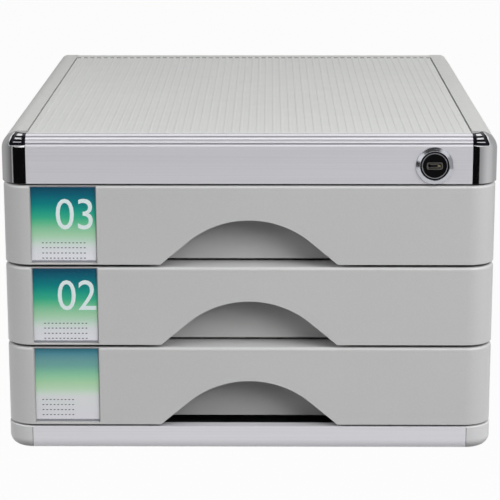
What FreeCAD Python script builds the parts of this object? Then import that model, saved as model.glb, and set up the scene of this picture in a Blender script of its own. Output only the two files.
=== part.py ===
import FreeCAD, Part
import math
import os

# Desktop file drawer: a low cabinet with three drawers, a grooved metal top rail and a key lock.
# X runs across the front, Y runs from front to back and Z is up. The origin is on the ground,
# below the middle of the cabinet. All sizes are in millimetres and all angles in degrees.

V = FreeCAD.Vector
X_AXIS = V(1, 0, 0)
Y_AXIS = V(0, 1, 0)
Z_AXIS = V(0, 0, 1)
half_turn_share = math.sqrt(0.5)
overrun = 5.0
fit_clearance = 0.05

# Outer sizes
body_width = 300.0
body_depth = 350.0
foot_proud = 1.0
base_height = 15.0
base_gap = 1.3
fascia_height = 49.6
drawer_gap = 1.0
top_gap = 0.9
frame_height = 29.6
corner_radius = 16.0

# Top frame
edge_radius = 7.0
rail_wall = 1.8
front_lip = 0.4
side_rail_width = 15.4
frame_flange_reach = 9.0
groove_angles_deg = (17.0, 35.0, 54.0)
groove_radius = 0.5
groove_sweep_deg = 40.0

# Ribbed top panel
panel_thickness = 2.4
panel_drop = 0.9
panel_side_gap = 0.8
panel_front_gap = 0.4
panel_back_gap = 1.8
rib_pitch = 5.0
rib_width = 1.8
rib_height = 0.65
rib_start = 10.0
rib_edge_margin = 3.0
shelf_thickness = 1.6
shelf_reach = 6.0
stiffener_count = 5
stiffener_height = 7.0
stiffener_thickness = 2.0
stiffener_first = 60.0
stiffener_last = 40.0

# Base
base_inset = 0.3
base_wall = 2.4
base_round = 6.5
base_edge_round = 0.6
strip_wall = 1.6
strip_top_depth = 8.0
strip_bottom_depth = 12.0
base_plate_thickness = 2.4
base_rim_width = 2.0
base_seat_inset = 5.5
base_plate_clearance = 0.1
spacer_radius = 4.0
spacer_inset = 18.7
foot_radius = 7.0
foot_side_inset = 35.0
foot_end_inset = 40.0

# Side and back panels
side_inset = 0.6
side_wall = 2.4
panel_front_clearance = 0.6
foot_flange_reach = 20.0
top_flange_reach = 6.0
back_flange_reach = 8.0
back_recess = 1.2
back_wall = 2.4
back_field_margin = 24.0
back_field_height = 0.8
back_field_radius = 8.0

# Screws
screw_radius = 1.5
screw_head_radius = 2.8
screw_head_height = 1.0
screw_recess_radius = 0.9
screw_recess_depth = 0.5
screws_per_row = 3
screw_row_inset = 60.0
back_screw_inset = 22.0
back_screw_edge = 4.0

# Drawer fronts
fascia_inset = 0.4
fascia_radius = 17.0
fascia_wall = 2.6
front_reach = 19.0
front_wall = 2.4
fascia_edge_round = 0.8
backplate_clearance = 0.1
arch_height = 28.0
arch_radius = 58.0
arch_turn_deg = 40.0
pocket_half_width = 58.0

# Labels
label_left = 18.0
label_width = 39.6
label_bottom = 1.5
label_top = 1.1
label_recess = 1.5
label_side_gap = 0.25
card_thickness = 0.4
cover_flush = 0.1
card_lip = 1.8
card_margin = 0.3

# Drawer trays and runners
tray_side_gap = 6.4
tray_lift = 2.0
tray_drop = 6.6
tray_wall = 2.0
tray_back_gap = 10.0
tray_corner_radius = 6.0
slide_width = 3.0
slide_thickness = 2.0
slide_clearance = 0.2
runner_reach = 5.8
runner_thickness = 2.4
runner_web = 1.6
runner_web_height = 5.0
runner_start = 46.0
runner_back_gap = 12.0
stop_place = 74.0
stop_length = 4.0
stop_height = 8.0
stop_clearance = 0.3
stop_side_clearance = 0.8
lug_length = 4.0
lug_height = 7.0
lug_reach = 2.6
lug_gap = 0.4
lug_end_inset = 2.0
tray_screw_place_share = 0.36
tray_screw_spread = 20.0

# Lock
lock_side_inset = 38.8
lock_ring_radius = 11.25
lock_ring_proud = 1.6
lock_ring_edge = 0.7
lock_barrel_radius = 9.4
lock_barrel_length = 22.5
lock_groove_radius = 8.6
lock_groove_depth = 1.4
plug_radius = 7.8
plug_set_back = 0.3
plug_overhang = 0.3
face_disc_radius = 7.2
face_disc_thickness = 0.8
keyway_width = 9.6
keyway_height = 2.8
keyway_inner_share = 0.85
keyway_depth = 17.0
nut_radius = 11.2
nut_thickness = 3.0
nut_slot_width = 3.0
nut_slot_depth = 1.2
cam_thickness = 2.0
cam_hub_radius = 8.0
cam_tip_radius = 4.5
cam_turn_deg = 90.0
pin_radius = 2.0
pin_clearance = 0.4
pin_end = 1.2
shank_size = 7.0
cam_screw_radius = 4.5
cam_screw_height = 1.7
cam_to_bar = 0.5

# Lock bar and its guides
bar_thickness = 1.5
bar_depth = 12.0
bar_travel = 12.0
bar_side_clearance = 0.3
bar_arm_height = 12.0
bar_arm_end = 2.4
tab_reach = 4.0
tab_height = 6.0
catch_length = 4.0
catch_plate_length = 12.0
catch_plate_thickness = 0.9
catch_height = 8.0
catch_drop = 21.6
catch_reach = 2.8
catch_clearance = 0.4
catch_margin = 1.0
bar_end_margin = 2.0
guide_thickness = 0.8
guide_height = 6.0
guide_drop = 10.6
guide_foot = 3.4

# Levels, from the ground up
half_width = body_width / 2
base_bottom = foot_proud
base_top = base_bottom + base_height
drawer_pitch = fascia_height + drawer_gap
tray_height = fascia_height - tray_lift - tray_drop
drawer_names = ("bottom_drawer", "middle_drawer", "top_drawer")
fascia_bottoms = [base_top + base_gap + level * drawer_pitch for level in range(len(drawer_names))]
frame_bottom = fascia_bottoms[-1] + fascia_height + top_gap
frame_top = frame_bottom + frame_height
frame_turn = frame_top - edge_radius

# Places from front to back; the lock ring is the foremost point
front_y = lock_ring_proud - (body_depth + lock_ring_proud) / 2
back_y = front_y + body_depth
corner_y = front_y + corner_radius
inner_wall_y = front_y + front_reach
tray_front_y = inner_wall_y + front_wall
tray_back_y = back_y - tray_back_gap
panel_front_y = tray_front_y + panel_front_clearance
back_panel_y = back_y - back_recess - back_wall

# Places across the cabinet
rail_half = half_width - corner_radius
frame_inner_half = half_width - side_rail_width
base_half = half_width - base_inset
side_outer = half_width - side_inset
side_inner = side_outer - side_wall
tray_half = side_inner - tray_side_gap
plate_bottom = base_bottom + strip_wall
plate_top = plate_bottom + base_plate_thickness
spacer_x = base_half - spacer_inset
shelf_top = frame_top - panel_drop - panel_thickness
shelf_bottom = shelf_top - shelf_thickness

# Lock places
lock_x = half_width - lock_side_inset
lock_z = (frame_bottom + frame_turn) / 2
barrel_back_y = front_y + lock_barrel_length
cam_front_y = barrel_back_y + plug_overhang
cam_back_y = cam_front_y + cam_thickness
bar_front_y = cam_back_y + cam_screw_height + cam_to_bar
bar_back_y = bar_front_y + bar_depth
bar_outer = side_inner - bar_side_clearance
bar_inner = bar_outer - bar_thickness
half_cam_turn = math.radians(cam_turn_deg / 2)
pin_arm = bar_travel / 2 / math.sin(half_cam_turn)
pin_rest_x = lock_x + pin_arm * math.cos(half_cam_turn)
pin_rest_z = lock_z - bar_travel / 2


def box(x_low, x_high, y_low, y_high, z_low, z_high):
    """Block between two corners."""
    return Part.makeBox(x_high - x_low, y_high - y_low, z_high - z_low, V(x_low, y_low, z_low))


def rod_y(radius, x, z, y_low, y_high):
    """Round rod along Y."""
    return Part.makeCylinder(radius, y_high - y_low, V(x, y_low, z), Y_AXIS)


def rod_z(radius, x, y, z_low, z_high):
    """Round rod along Z."""
    return Part.makeCylinder(radius, z_high - z_low, V(x, y, z_low), Z_AXIS)


def mirrored(shape):
    """The same shape on the other side of the cabinet."""
    return shape.mirror(V(0, 0, 0), X_AXIS)


def joined(shapes):
    """One solid from shapes that meet."""
    first, *rest = shapes
    if rest:
        first = first.fuse(rest)
    return first.removeSplitter()


def face_of(curves):
    """Flat face inside a closed run of lines and arcs."""
    return Part.Face(Part.Wire([curve.toShape() for curve in curves]))


def rounded_block(x_low, x_high, y_low, y_high, z_low, z_high, radius):
    """Block with its four upright edges rounded."""
    block = box(x_low, x_high, y_low, y_high, z_low, z_high)
    upright = [edge for edge in block.Edges if abs(edge.tangentAt(edge.FirstParameter).z) > half_turn_share]
    return block.makeFillet(radius, upright)


def evenly(low, high, count):
    """Places spread evenly from low to high."""
    return [low + (high - low) * index / (count - 1) for index in range(count)]


def screw(tip, head_seat, direction):
    """Screw from the seat of its head to its tip; direction points from the head to the tip."""
    length = (tip - head_seat).Length
    shank = Part.makeCylinder(screw_radius, length, head_seat, direction)
    head_end = head_seat - direction * screw_head_height
    head = Part.makeCylinder(screw_head_radius, screw_head_height, head_end, direction)
    recess_base = head_seat - direction * screw_head_height
    recess = Part.makeCylinder(screw_recess_radius, screw_recess_depth, recess_base, direction)
    return shank.fuse(head).cut(recess)


def screw_hole(tip, head_seat, direction):
    """Hole that a screw passes, with the fit clearance all round."""
    start = head_seat - direction * overrun
    length = (tip - start).Length + fit_clearance
    return Part.makeCylinder(screw_radius + fit_clearance, length, start, direction)


def rail_face(origin, inward, width):
    """Section of a frame rail: outer wall, rounded top edge and flat top."""
    def at(depth, height):
        return origin + inward * depth + Z_AXIS * height

    inner_radius = edge_radius - rail_wall
    top_under = frame_top - rail_wall
    outer_middle = at(edge_radius * (1 - half_turn_share), frame_turn + edge_radius * half_turn_share)
    inner_shift = inner_radius * half_turn_share
    inner_middle = at(edge_radius - inner_shift, frame_turn + inner_shift)
    return face_of([
        Part.LineSegment(at(0, frame_bottom), at(0, frame_turn)),
        Part.Arc(at(0, frame_turn), outer_middle, at(edge_radius, frame_top)),
        Part.LineSegment(at(edge_radius, frame_top), at(width, frame_top)),
        Part.LineSegment(at(width, frame_top), at(width, top_under)),
        Part.LineSegment(at(width, top_under), at(edge_radius, top_under)),
        Part.Arc(at(edge_radius, top_under), inner_middle, at(rail_wall, frame_turn)),
        Part.LineSegment(at(rail_wall, frame_turn), at(rail_wall, frame_bottom)),
        Part.LineSegment(at(rail_wall, frame_bottom), at(0, frame_bottom)),
    ])


def groove_centres():
    """Depth behind the front face and height of each groove in the rounded top edge."""
    centres = []
    for angle_deg in groove_angles_deg:
        angle = math.radians(angle_deg)
        centres.append((edge_radius * (1 - math.cos(angle)), frame_turn + edge_radius * math.sin(angle)))
    return centres


def top_front_rail():
    """Aluminium rail across the front, with three grooves and the hole for the lock."""
    section = rail_face(V(-rail_half, front_y, 0), Y_AXIS, edge_radius + front_lip)
    rail = section.extrude(X_AXIS * (2 * rail_half))
    shelf = box(-rail_half, rail_half, front_y, corner_y, shelf_bottom, shelf_top)
    inside = box(-rail_half, rail_half, front_y + rail_wall, corner_y, frame_bottom, shelf_top)
    rail = joined([rail, shelf.common(inside)])
    for depth, height in groove_centres():
        start = V(-rail_half - overrun, front_y + depth, height)
        rail = rail.cut(Part.makeCylinder(groove_radius, 2 * (rail_half + overrun), start, X_AXIS))
    hole_radius = lock_barrel_radius + fit_clearance
    return rail.cut(rod_y(hole_radius, lock_x, lock_z, front_y - overrun, corner_y))


def corner_cap_right():
    """Plated corner cap; the grooves of the front rail run a little way round it."""
    axis_point = V(rail_half, corner_y, 0)
    cap = rail_face(V(rail_half, front_y, 0), Y_AXIS, corner_radius).revolve(axis_point, Z_AXIS, 90)
    for depth, height in groove_centres():
        centre = V(rail_half, front_y + depth, height)
        ring = Part.Face(Part.Wire(Part.makeCircle(groove_radius, centre, X_AXIS)))
        cap = cap.cut(ring.revolve(axis_point, Z_AXIS, groove_sweep_deg))
        sweep = math.radians(groove_sweep_deg)
        reach = corner_radius - depth
        end = V(rail_half + reach * math.sin(sweep), corner_y - reach * math.cos(sweep), height)
        cap = cap.cut(Part.makeSphere(groove_radius, end))
    return cap


def filled_rail_end():
    """Plate that closes the back end of a side rail."""
    plate_y = back_y - rail_wall
    round_y = edge_radius * (1 - half_turn_share)
    start = V(half_width, plate_y, frame_bottom)
    inner = V(half_width - side_rail_width, plate_y, frame_bottom)
    top_inner = V(half_width - side_rail_width, plate_y, frame_top)
    top_turn = V(half_width - edge_radius, plate_y, frame_top)
    middle = V(half_width - round_y, plate_y, frame_top - round_y)
    side_turn = V(half_width, plate_y, frame_turn)
    outline = face_of([
        Part.LineSegment(start, inner),
        Part.LineSegment(inner, top_inner),
        Part.LineSegment(top_inner, top_turn),
        Part.Arc(top_turn, middle, side_turn),
        Part.LineSegment(side_turn, start),
    ])
    return outline.extrude(Y_AXIS * rail_wall)


def top_side_rail_right():
    """Side rail of the top frame, with the shelf that carries the ribbed panel."""
    length = body_depth - corner_radius
    rail = rail_face(V(half_width, corner_y, 0), -X_AXIS, side_rail_width).extrude(Y_AXIS * length)
    shelf_back = back_y - side_rail_width
    lip = box(frame_inner_half, frame_inner_half + rail_wall, corner_y, back_y,
              shelf_bottom, frame_top - rail_wall)
    shelf = box(frame_inner_half - shelf_reach, frame_inner_half, corner_y, shelf_back,
                shelf_bottom, shelf_top)
    flange_front = front_y + runner_start
    flange_low = half_width - frame_flange_reach
    flange = box(flange_low, half_width - rail_wall, flange_front, back_y,
                 frame_bottom, frame_bottom + rail_wall)
    end_plate = filled_rail_end()
    rail = joined([rail, lip, shelf, flange, end_plate])
    for hole in frame_screw_holes():
        rail = rail.cut(hole)
    return rail


def top_back_rail():
    """Back rail between the side rails."""
    section = rail_face(V(-frame_inner_half, back_y, 0), -Y_AXIS, side_rail_width)
    rail = section.extrude(X_AXIS * (2 * frame_inner_half))
    inner_y = back_y - side_rail_width
    shelf_half = frame_inner_half - shelf_reach - slide_clearance
    lip = box(-frame_inner_half, frame_inner_half, inner_y, inner_y + rail_wall,
              shelf_bottom, frame_top - rail_wall)
    shelf = box(-shelf_half, shelf_half, inner_y - shelf_reach, inner_y, shelf_bottom, shelf_top)
    return joined([rail, lip, shelf])


def top_panel():
    """Ribbed panel: low round ribs run from front to back and bridge the slot at the back."""
    panel_half = frame_inner_half - panel_side_gap
    plate_front = front_y + edge_radius + front_lip + panel_front_gap
    rib_front = plate_front + rib_start
    rib_back = back_y - side_rail_width - fit_clearance
    plate_back = back_y - side_rail_width - panel_back_gap
    top = shelf_top + panel_thickness
    count = int((panel_half - rib_edge_margin) // rib_pitch)
    curves = [Part.LineSegment(V(-panel_half, rib_front, shelf_top), V(panel_half, rib_front, shelf_top))]
    curves.append(Part.LineSegment(V(panel_half, rib_front, shelf_top), V(panel_half, rib_front, top)))
    corner = V(panel_half, rib_front, top)
    for index in range(count, -count - 1, -1):
        middle = index * rib_pitch
        right = V(middle + rib_width / 2, rib_front, top)
        left = V(middle - rib_width / 2, rib_front, top)
        curves.append(Part.LineSegment(corner, right))
        curves.append(Part.Arc(right, V(middle, rib_front, top + rib_height), left))
        corner = left
    curves.append(Part.LineSegment(corner, V(-panel_half, rib_front, top)))
    curves.append(Part.LineSegment(V(-panel_half, rib_front, top), V(-panel_half, rib_front, shelf_top)))
    ribbed = face_of(curves).extrude(Y_AXIS * (rib_back - rib_front))
    ribbed = ribbed.cut(box(-half_width, half_width, plate_back, back_y, shelf_top - overrun, top))
    pieces = [ribbed, box(-panel_half, panel_half, plate_front, rib_front, shelf_top, top)]
    stiffener_half = frame_inner_half - shelf_reach - panel_side_gap
    for middle in evenly(front_y + stiffener_first, back_y - stiffener_last, stiffener_count):
        low = middle - stiffener_thickness / 2
        high = middle + stiffener_thickness / 2
        pieces.append(box(-stiffener_half, stiffener_half, low, high,
                          shelf_top - stiffener_height, shelf_top))
    return joined(pieces)


def base_face(origin, inward, width):
    """Filled section of the base: upright outer face, large round below and small round above."""
    def at(depth, height):
        return origin + inward * depth + Z_AXIS * height

    turn = base_bottom + base_round
    shift = base_round * (1 - half_turn_share)
    edge_turn = base_top - base_edge_round
    edge_shift = base_edge_round * (1 - half_turn_share)
    return face_of([
        Part.LineSegment(at(0, edge_turn), at(0, turn)),
        Part.Arc(at(0, turn), at(shift, base_bottom + shift), at(base_round, base_bottom)),
        Part.LineSegment(at(base_round, base_bottom), at(width, base_bottom)),
        Part.LineSegment(at(width, base_bottom), at(width, base_top)),
        Part.LineSegment(at(width, base_top), at(base_edge_round, base_top)),
        Part.Arc(at(base_edge_round, base_top), at(edge_shift, base_top - edge_shift), at(0, edge_turn)),
    ])


def base_rim():
    """Skirt and inner flange round the sides and the back of the base."""
    length = back_y - corner_y
    right_half = base_face(V(base_half, corner_y, 0), -X_AXIS, base_half).extrude(Y_AXIS * length)
    to_the_back = base_face(V(-base_half, back_y, 0), -Y_AXIS, length).extrude(X_AXIS * (2 * base_half))
    rim = joined([right_half, mirrored(right_half)]).common(to_the_back)
    cuts = (
        (base_wall, plate_top),
        (base_seat_inset, plate_bottom),
        (base_round + base_rim_width, base_bottom - overrun),
    )
    for inset, low in cuts:
        half = base_half - inset
        rim = rim.cut(box(-half, half, corner_y - overrun, back_y - inset, low, base_top + overrun))
    return rim


def base_side_rail_right():
    """Side rail of the base, from the corner block to the back."""
    inner = base_half - base_round - base_rim_width
    return base_rim().common(box(inner, base_half, corner_y, back_y, base_bottom, base_top))


def base_back_rail():
    """Back rail of the base, between the side rails."""
    inner = base_half - base_round - base_rim_width
    return base_rim().common(box(-inner, inner, corner_y, back_y, base_bottom, base_top))


def base_plate():
    """Plate that lies on the flanges of the base; its tongue lies on the front strip."""
    half = base_half - base_seat_inset - base_plate_clearance
    front = corner_y + base_plate_clearance
    tongue_half = rail_half - base_plate_clearance
    plate = joined([
        box(-half, half, front, back_y - base_seat_inset - base_plate_clearance, plate_bottom, plate_top),
        box(-tongue_half, tongue_half, front_y + base_round, front, plate_bottom, plate_top),
    ])
    for hole in base_screw_holes():
        plate = plate.cut(hole)
    return plate


def base_spacer(side, place):
    """Sleeve round a base screw, between the plate and the side panel."""
    sleeve = rod_z(spacer_radius, side * spacer_x, place, plate_top, base_top)
    return sleeve.cut(screw_hole(*base_screw_ends(side, place), Z_AXIS))


def base_spacers():
    """All sleeves of the base screws."""
    return Part.makeCompound([base_spacer(side, place) for side in (-1, 1) for place in screw_rows()])


def base_front_strip():
    """Aluminium strip across the front of the base: a C section that is rounded below."""
    def at(depth, height):
        return V(-rail_half, front_y + depth, height)

    inner_round = base_round - strip_wall
    turn = base_bottom + base_round
    outer_shift = base_round * (1 - half_turn_share)
    inner_shift = base_round - inner_round * half_turn_share
    edge_turn = base_top - base_edge_round
    edge_shift = base_edge_round * (1 - half_turn_share)
    under = base_top - strip_wall
    section = face_of([
        Part.LineSegment(at(0, edge_turn), at(0, turn)),
        Part.Arc(at(0, turn), at(outer_shift, base_bottom + outer_shift), at(base_round, base_bottom)),
        Part.LineSegment(at(base_round, base_bottom), at(strip_bottom_depth, base_bottom)),
        Part.LineSegment(at(strip_bottom_depth, base_bottom), at(strip_bottom_depth, plate_bottom)),
        Part.LineSegment(at(strip_bottom_depth, plate_bottom), at(base_round, plate_bottom)),
        Part.Arc(at(base_round, plate_bottom), at(inner_shift, base_bottom + inner_shift),
                 at(strip_wall, turn)),
        Part.LineSegment(at(strip_wall, turn), at(strip_wall, under)),
        Part.LineSegment(at(strip_wall, under), at(strip_top_depth, under)),
        Part.LineSegment(at(strip_top_depth, under), at(strip_top_depth, base_top)),
        Part.LineSegment(at(strip_top_depth, base_top), at(base_edge_round, base_top)),
        Part.Arc(at(base_edge_round, base_top), at(edge_shift, base_top - edge_shift), at(0, edge_turn)),
    ])
    return section.extrude(X_AXIS * (2 * rail_half))


def base_corner_right():
    """Corner block of the base: the section of the base swept round the corner."""
    reach = base_half - rail_half
    turn_y = front_y + reach
    turned = base_face(V(rail_half, front_y, 0), Y_AXIS, reach).revolve(V(rail_half, turn_y, 0), Z_AXIS, 90)
    straight = base_face(V(base_half, turn_y, 0), -X_AXIS, reach).extrude(Y_AXIS * (corner_y - turn_y))
    return joined([turned, straight])


def foot_pads():
    """Four rubber discs under the base pan."""
    pads = []
    for side in (-1, 1):
        for place in (front_y + foot_end_inset, back_y - foot_end_inset):
            pads.append(rod_z(foot_radius, side * (half_width - foot_side_inset), place, 0, plate_bottom))
    return Part.makeCompound(pads)


def screw_rows():
    """Places from front to back of the screws along each side."""
    return evenly(front_y + screw_row_inset, back_y - screw_row_inset, screws_per_row)


def base_screw_ends(side, place):
    """Tip and head seat of a screw through the base pan."""
    return V(side * spacer_x, place, base_top + side_wall), V(side * spacer_x, place, plate_bottom)


def frame_screw_ends(side, place):
    """Tip and head seat of a screw through the top flange of a side panel."""
    x = side * (side_inner - top_flange_reach / 2)
    return V(x, place, frame_bottom + rail_wall), V(x, place, frame_bottom - side_wall)


def back_screw_ends(side, height):
    """Tip and head seat of a screw through the back panel."""
    x = side * (side_inner - back_screw_edge)
    return V(x, back_panel_y - side_wall, height), V(x, back_panel_y + back_wall, height)


def back_screw_heights():
    """Heights of the screws along each side of the back panel."""
    return evenly(base_top + back_screw_inset, frame_bottom - back_screw_inset, screws_per_row)


def both_sides(ends, places, make, direction):
    """One screw or hole at each place on each side of the cabinet."""
    return [make(*ends(side, place), direction) for side in (-1, 1) for place in places]


def base_screw_holes():
    """Holes for the screws between the side panels and the base."""
    return both_sides(base_screw_ends, screw_rows(), screw_hole, Z_AXIS)


def frame_screw_holes():
    """Holes for the screws between the side panels and the top frame."""
    return both_sides(frame_screw_ends, screw_rows(), screw_hole, Z_AXIS)


def back_screw_holes():
    """Holes for the screws between the back panel and the side panels."""
    return both_sides(back_screw_ends, back_screw_heights(), screw_hole, -Y_AXIS)


def cabinet_screws():
    """Screws that hold the side panels to the base, the top frame and the back panel."""
    screws = both_sides(base_screw_ends, screw_rows(), screw, Z_AXIS)
    screws += both_sides(frame_screw_ends, screw_rows(), screw, Z_AXIS)
    screws += both_sides(back_screw_ends, back_screw_heights(), screw, -Y_AXIS)
    return Part.makeCompound(screws)


def side_panel_right():
    """Moulded side panel with flanges for the base, the top frame and the back panel."""
    flange_front = front_y + runner_start
    low_flange_top = base_top + side_wall
    high_flange_low = frame_bottom - side_wall
    back_flange = side_inner - back_flange_reach
    foot_flange = side_inner - foot_flange_reach
    top_flange = side_inner - top_flange_reach
    panel = joined([
        box(side_inner, side_outer, panel_front_y, back_y, base_top, frame_bottom),
        box(foot_flange, side_inner, flange_front, back_panel_y, base_top, low_flange_top),
        box(top_flange, side_inner, flange_front, back_panel_y, high_flange_low, frame_bottom),
        box(back_flange, side_inner, back_panel_y - side_wall, back_panel_y, base_top, frame_bottom),
    ])
    for hole in base_screw_holes() + frame_screw_holes() + back_screw_holes():
        panel = panel.cut(hole)
    return panel


def back_panel():
    """Back panel with a raised field, screwed to the side panels."""
    panel_back = back_panel_y + back_wall
    plate = box(-side_inner, side_inner, back_panel_y, panel_back, base_top, frame_bottom)
    field_half = side_inner - back_field_margin
    field = box(-field_half, field_half, panel_back, panel_back + back_field_height,
                base_top + back_field_margin, frame_bottom - back_field_margin)
    corners = [edge for edge in field.Edges if edge.BoundBox.YLength > 0
               and edge.BoundBox.XLength < field_half and edge.BoundBox.ZLength < back_field_height]
    panel = joined([plate, field.makeFillet(back_field_radius, corners)])
    for hole in back_screw_holes():
        panel = panel.cut(hole)
    return panel


def runner_ledge_top(fascia_bottom):
    """Height of the face that a drawer's slides rest on."""
    return fascia_bottom + tray_lift + tray_height - slide_thickness - slide_clearance


def runner_right(fascia_bottom):
    """Drawer runner: an angle on the side panel with a stop below its ledge."""
    top = runner_ledge_top(fascia_bottom)
    low = top - runner_thickness
    start = front_y + runner_start
    end = back_y - runner_back_gap
    stop_y = front_y + stop_place
    stop_inner = tray_half + stop_side_clearance
    return joined([
        box(side_inner - runner_reach, side_inner, start, end, low, top),
        box(side_inner - runner_web, side_inner, start, end, low, top + runner_web_height),
        box(stop_inner, side_inner, stop_y, stop_y + stop_length, low - stop_height, low),
    ])


def tray_screw_places(fascia_bottom):
    """Places of the screws between tray and front, across and up."""
    across = tray_half * (1 - tray_screw_place_share)
    middle = fascia_bottom + tray_lift + tray_height / 2
    spread = tray_screw_spread / 2
    return [(side * across, middle + step * spread) for side in (-1, 1) for step in (-1, 1)]


def tray_screw_ends(x, z):
    """Tip and head seat of a screw from the tray into the inner wall of the front."""
    return V(x, inner_wall_y, z), V(x, tray_front_y + tray_wall, z)


def drawer_tray(fascia_bottom):
    """Open tray with thin walls and rounded upright corners."""
    low = fascia_bottom + tray_lift
    high = low + tray_height
    outer = rounded_block(-tray_half, tray_half, tray_front_y, tray_back_y, low, high, tray_corner_radius)
    inner_half = tray_half - tray_wall
    inner_radius = tray_corner_radius - tray_wall
    hollow = rounded_block(-inner_half, inner_half, tray_front_y + tray_wall, tray_back_y - tray_wall,
                           low + tray_wall, high + overrun, inner_radius)
    tray = outer.cut(hollow)
    for x, z in tray_screw_places(fascia_bottom):
        tray = tray.cut(screw_hole(*tray_screw_ends(x, z), -Y_AXIS))
    return tray


def drawer_slides(fascia_bottom):
    """Strips that slide on the runners and stop lugs, one of each on both sides of a tray."""
    high = fascia_bottom + tray_lift + tray_height
    strip_front = tray_front_y + tray_corner_radius
    strip_back = tray_back_y - tray_corner_radius
    strip = box(tray_half, tray_half + slide_width, strip_front, strip_back, high - slide_thickness, high)
    lug_top = runner_ledge_top(fascia_bottom) - runner_thickness - lug_gap
    lug_back = strip_back - lug_end_inset
    lug = box(tray_half, tray_half + lug_reach, lug_back - lug_length, lug_back,
              lug_top - lug_height, lug_top)
    return Part.makeCompound([strip, lug, mirrored(strip), mirrored(lug)])


def catch_bottom(fascia_bottom):
    """Height of the lower edge of a drawer's catch."""
    return fascia_bottom + fascia_height - catch_drop - catch_height


def drawer_catch(fascia_bottom):
    """Metal catch on the side of a tray that the lock bar's tab stands in front of."""
    low = catch_bottom(fascia_bottom)
    high = low + catch_height
    front = bar_front_y + bar_thickness + catch_clearance
    plate_outer = tray_half + catch_plate_thickness
    return joined([
        box(tray_half, plate_outer, front, front + catch_plate_length, low, high),
        box(tray_half, tray_half + catch_reach, front, front + catch_length, low, high),
    ])


def drawer_travel():
    """How far a drawer comes out before its stop lugs meet the stops of the runners."""
    lug_front = tray_back_y - tray_corner_radius - lug_end_inset - lug_length
    return lug_front - (front_y + stop_place + stop_length) - stop_clearance


def plan_block(half, y_low, y_high, z_low, z_high, radius):
    """Block across the cabinet whose two front upright edges are rounded."""
    shift = radius * (1 - half_turn_share)
    curves = [
        Part.LineSegment(V(-half, y_high, z_low), V(-half, y_low + radius, z_low)),
        Part.Arc(V(-half, y_low + radius, z_low), V(-half + shift, y_low + shift, z_low),
                 V(-half + radius, y_low, z_low)),
        Part.LineSegment(V(-half + radius, y_low, z_low), V(half - radius, y_low, z_low)),
        Part.Arc(V(half - radius, y_low, z_low), V(half - shift, y_low + shift, z_low),
                 V(half, y_low + radius, z_low)),
        Part.LineSegment(V(half, y_low + radius, z_low), V(half, y_high, z_low)),
        Part.LineSegment(V(half, y_high, z_low), V(-half, y_high, z_low)),
    ]
    return face_of(curves).extrude(Z_AXIS * (z_high - z_low))


def arch_cutter(fascia_bottom):
    """Finger cut-out: a round arch that runs out into two straight slopes."""
    turn = math.radians(arch_turn_deg)
    centre_z = fascia_bottom + arch_height - arch_radius
    join_x = arch_radius * math.sin(turn)
    join_z = centre_z + arch_radius * math.cos(turn)
    low_z = fascia_bottom - overrun
    foot_x = join_x + (join_z - low_z) / math.tan(turn)
    start_y = front_y - overrun
    curves = [
        Part.LineSegment(V(-foot_x, start_y, low_z), V(-join_x, start_y, join_z)),
        Part.Arc(V(-join_x, start_y, join_z), V(0, start_y, fascia_bottom + arch_height),
                 V(join_x, start_y, join_z)),
        Part.LineSegment(V(join_x, start_y, join_z), V(foot_x, start_y, low_z)),
        Part.LineSegment(V(foot_x, start_y, low_z), V(-foot_x, start_y, low_z)),
    ]
    return face_of(curves).extrude(Y_AXIS * (overrun + fascia_wall + overrun))


def label_corners(fascia_bottom):
    """Left, right, bottom and top of the label cover."""
    left = -half_width + label_left
    return left, left + label_width, fascia_bottom + label_bottom, fascia_bottom + fascia_height - label_top


def drawer_front(fascia_bottom):
    """Moulded drawer front: fascia, sides and top ledge round a finger pocket, open below and behind."""
    half = half_width - fascia_inset
    top = fascia_bottom + fascia_height
    body = plan_block(half, front_y, tray_front_y, fascia_bottom, top, fascia_radius)
    rounded = [edge for edge in body.Edges
               if edge.BoundBox.ZMin > fascia_bottom + fascia_height / 2 and edge.BoundBox.YMin < inner_wall_y
               and edge.BoundBox.YMax < tray_front_y + fit_clearance]
    body = body.makeFillet(fascia_edge_round, rounded)
    inner_radius = fascia_radius - fascia_wall
    hollow = plan_block(half - fascia_wall, front_y + fascia_wall, tray_front_y + overrun,
                        fascia_bottom - overrun, top - front_wall, inner_radius)
    for side in (-1, 1):
        rib_inner = side * pocket_half_width
        rib_outer = side * (pocket_half_width + front_wall)
        low_x, high_x = sorted((rib_inner, rib_outer))
        hollow = hollow.cut(box(low_x, high_x, front_y, inner_wall_y, fascia_bottom - overrun, top))
    body = body.cut(hollow)
    body = body.cut(arch_cutter(fascia_bottom))
    left, right, low, high = label_corners(fascia_bottom)
    recess = box(left - label_side_gap, right + label_side_gap, front_y - overrun, front_y + label_recess,
                 low - label_side_gap, high + label_side_gap)
    return body.cut(recess)


def drawer_backplate(fascia_bottom):
    """Plate that closes a drawer front behind; it is the back wall of the finger pocket."""
    half = half_width - fascia_inset - fascia_wall - backplate_clearance
    top = fascia_bottom + fascia_height - front_wall
    plate = box(-half, half, inner_wall_y, tray_front_y, fascia_bottom, top)
    for x, z in tray_screw_places(fascia_bottom):
        plate = plate.cut(screw_hole(*tray_screw_ends(x, z), -Y_AXIS))
    return plate


def label_card(fascia_bottom):
    """Printed card behind the clear cover."""
    left, right, low, high = label_corners(fascia_bottom)
    back = front_y + label_recess
    return box(left + card_margin, right - card_margin, back - card_thickness, back,
               low + card_lip, high - card_margin)


def label_cover(fascia_bottom):
    """Clear cover with a lip below the card."""
    left, right, low, high = label_corners(fascia_bottom)
    back = front_y + label_recess
    cover = box(left, right, front_y + cover_flush, back, low, high)
    pocket = box(left + card_margin, right - card_margin, back - card_thickness, back + overrun,
                 low + card_lip, high - card_margin)
    return cover.cut(pocket)


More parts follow.
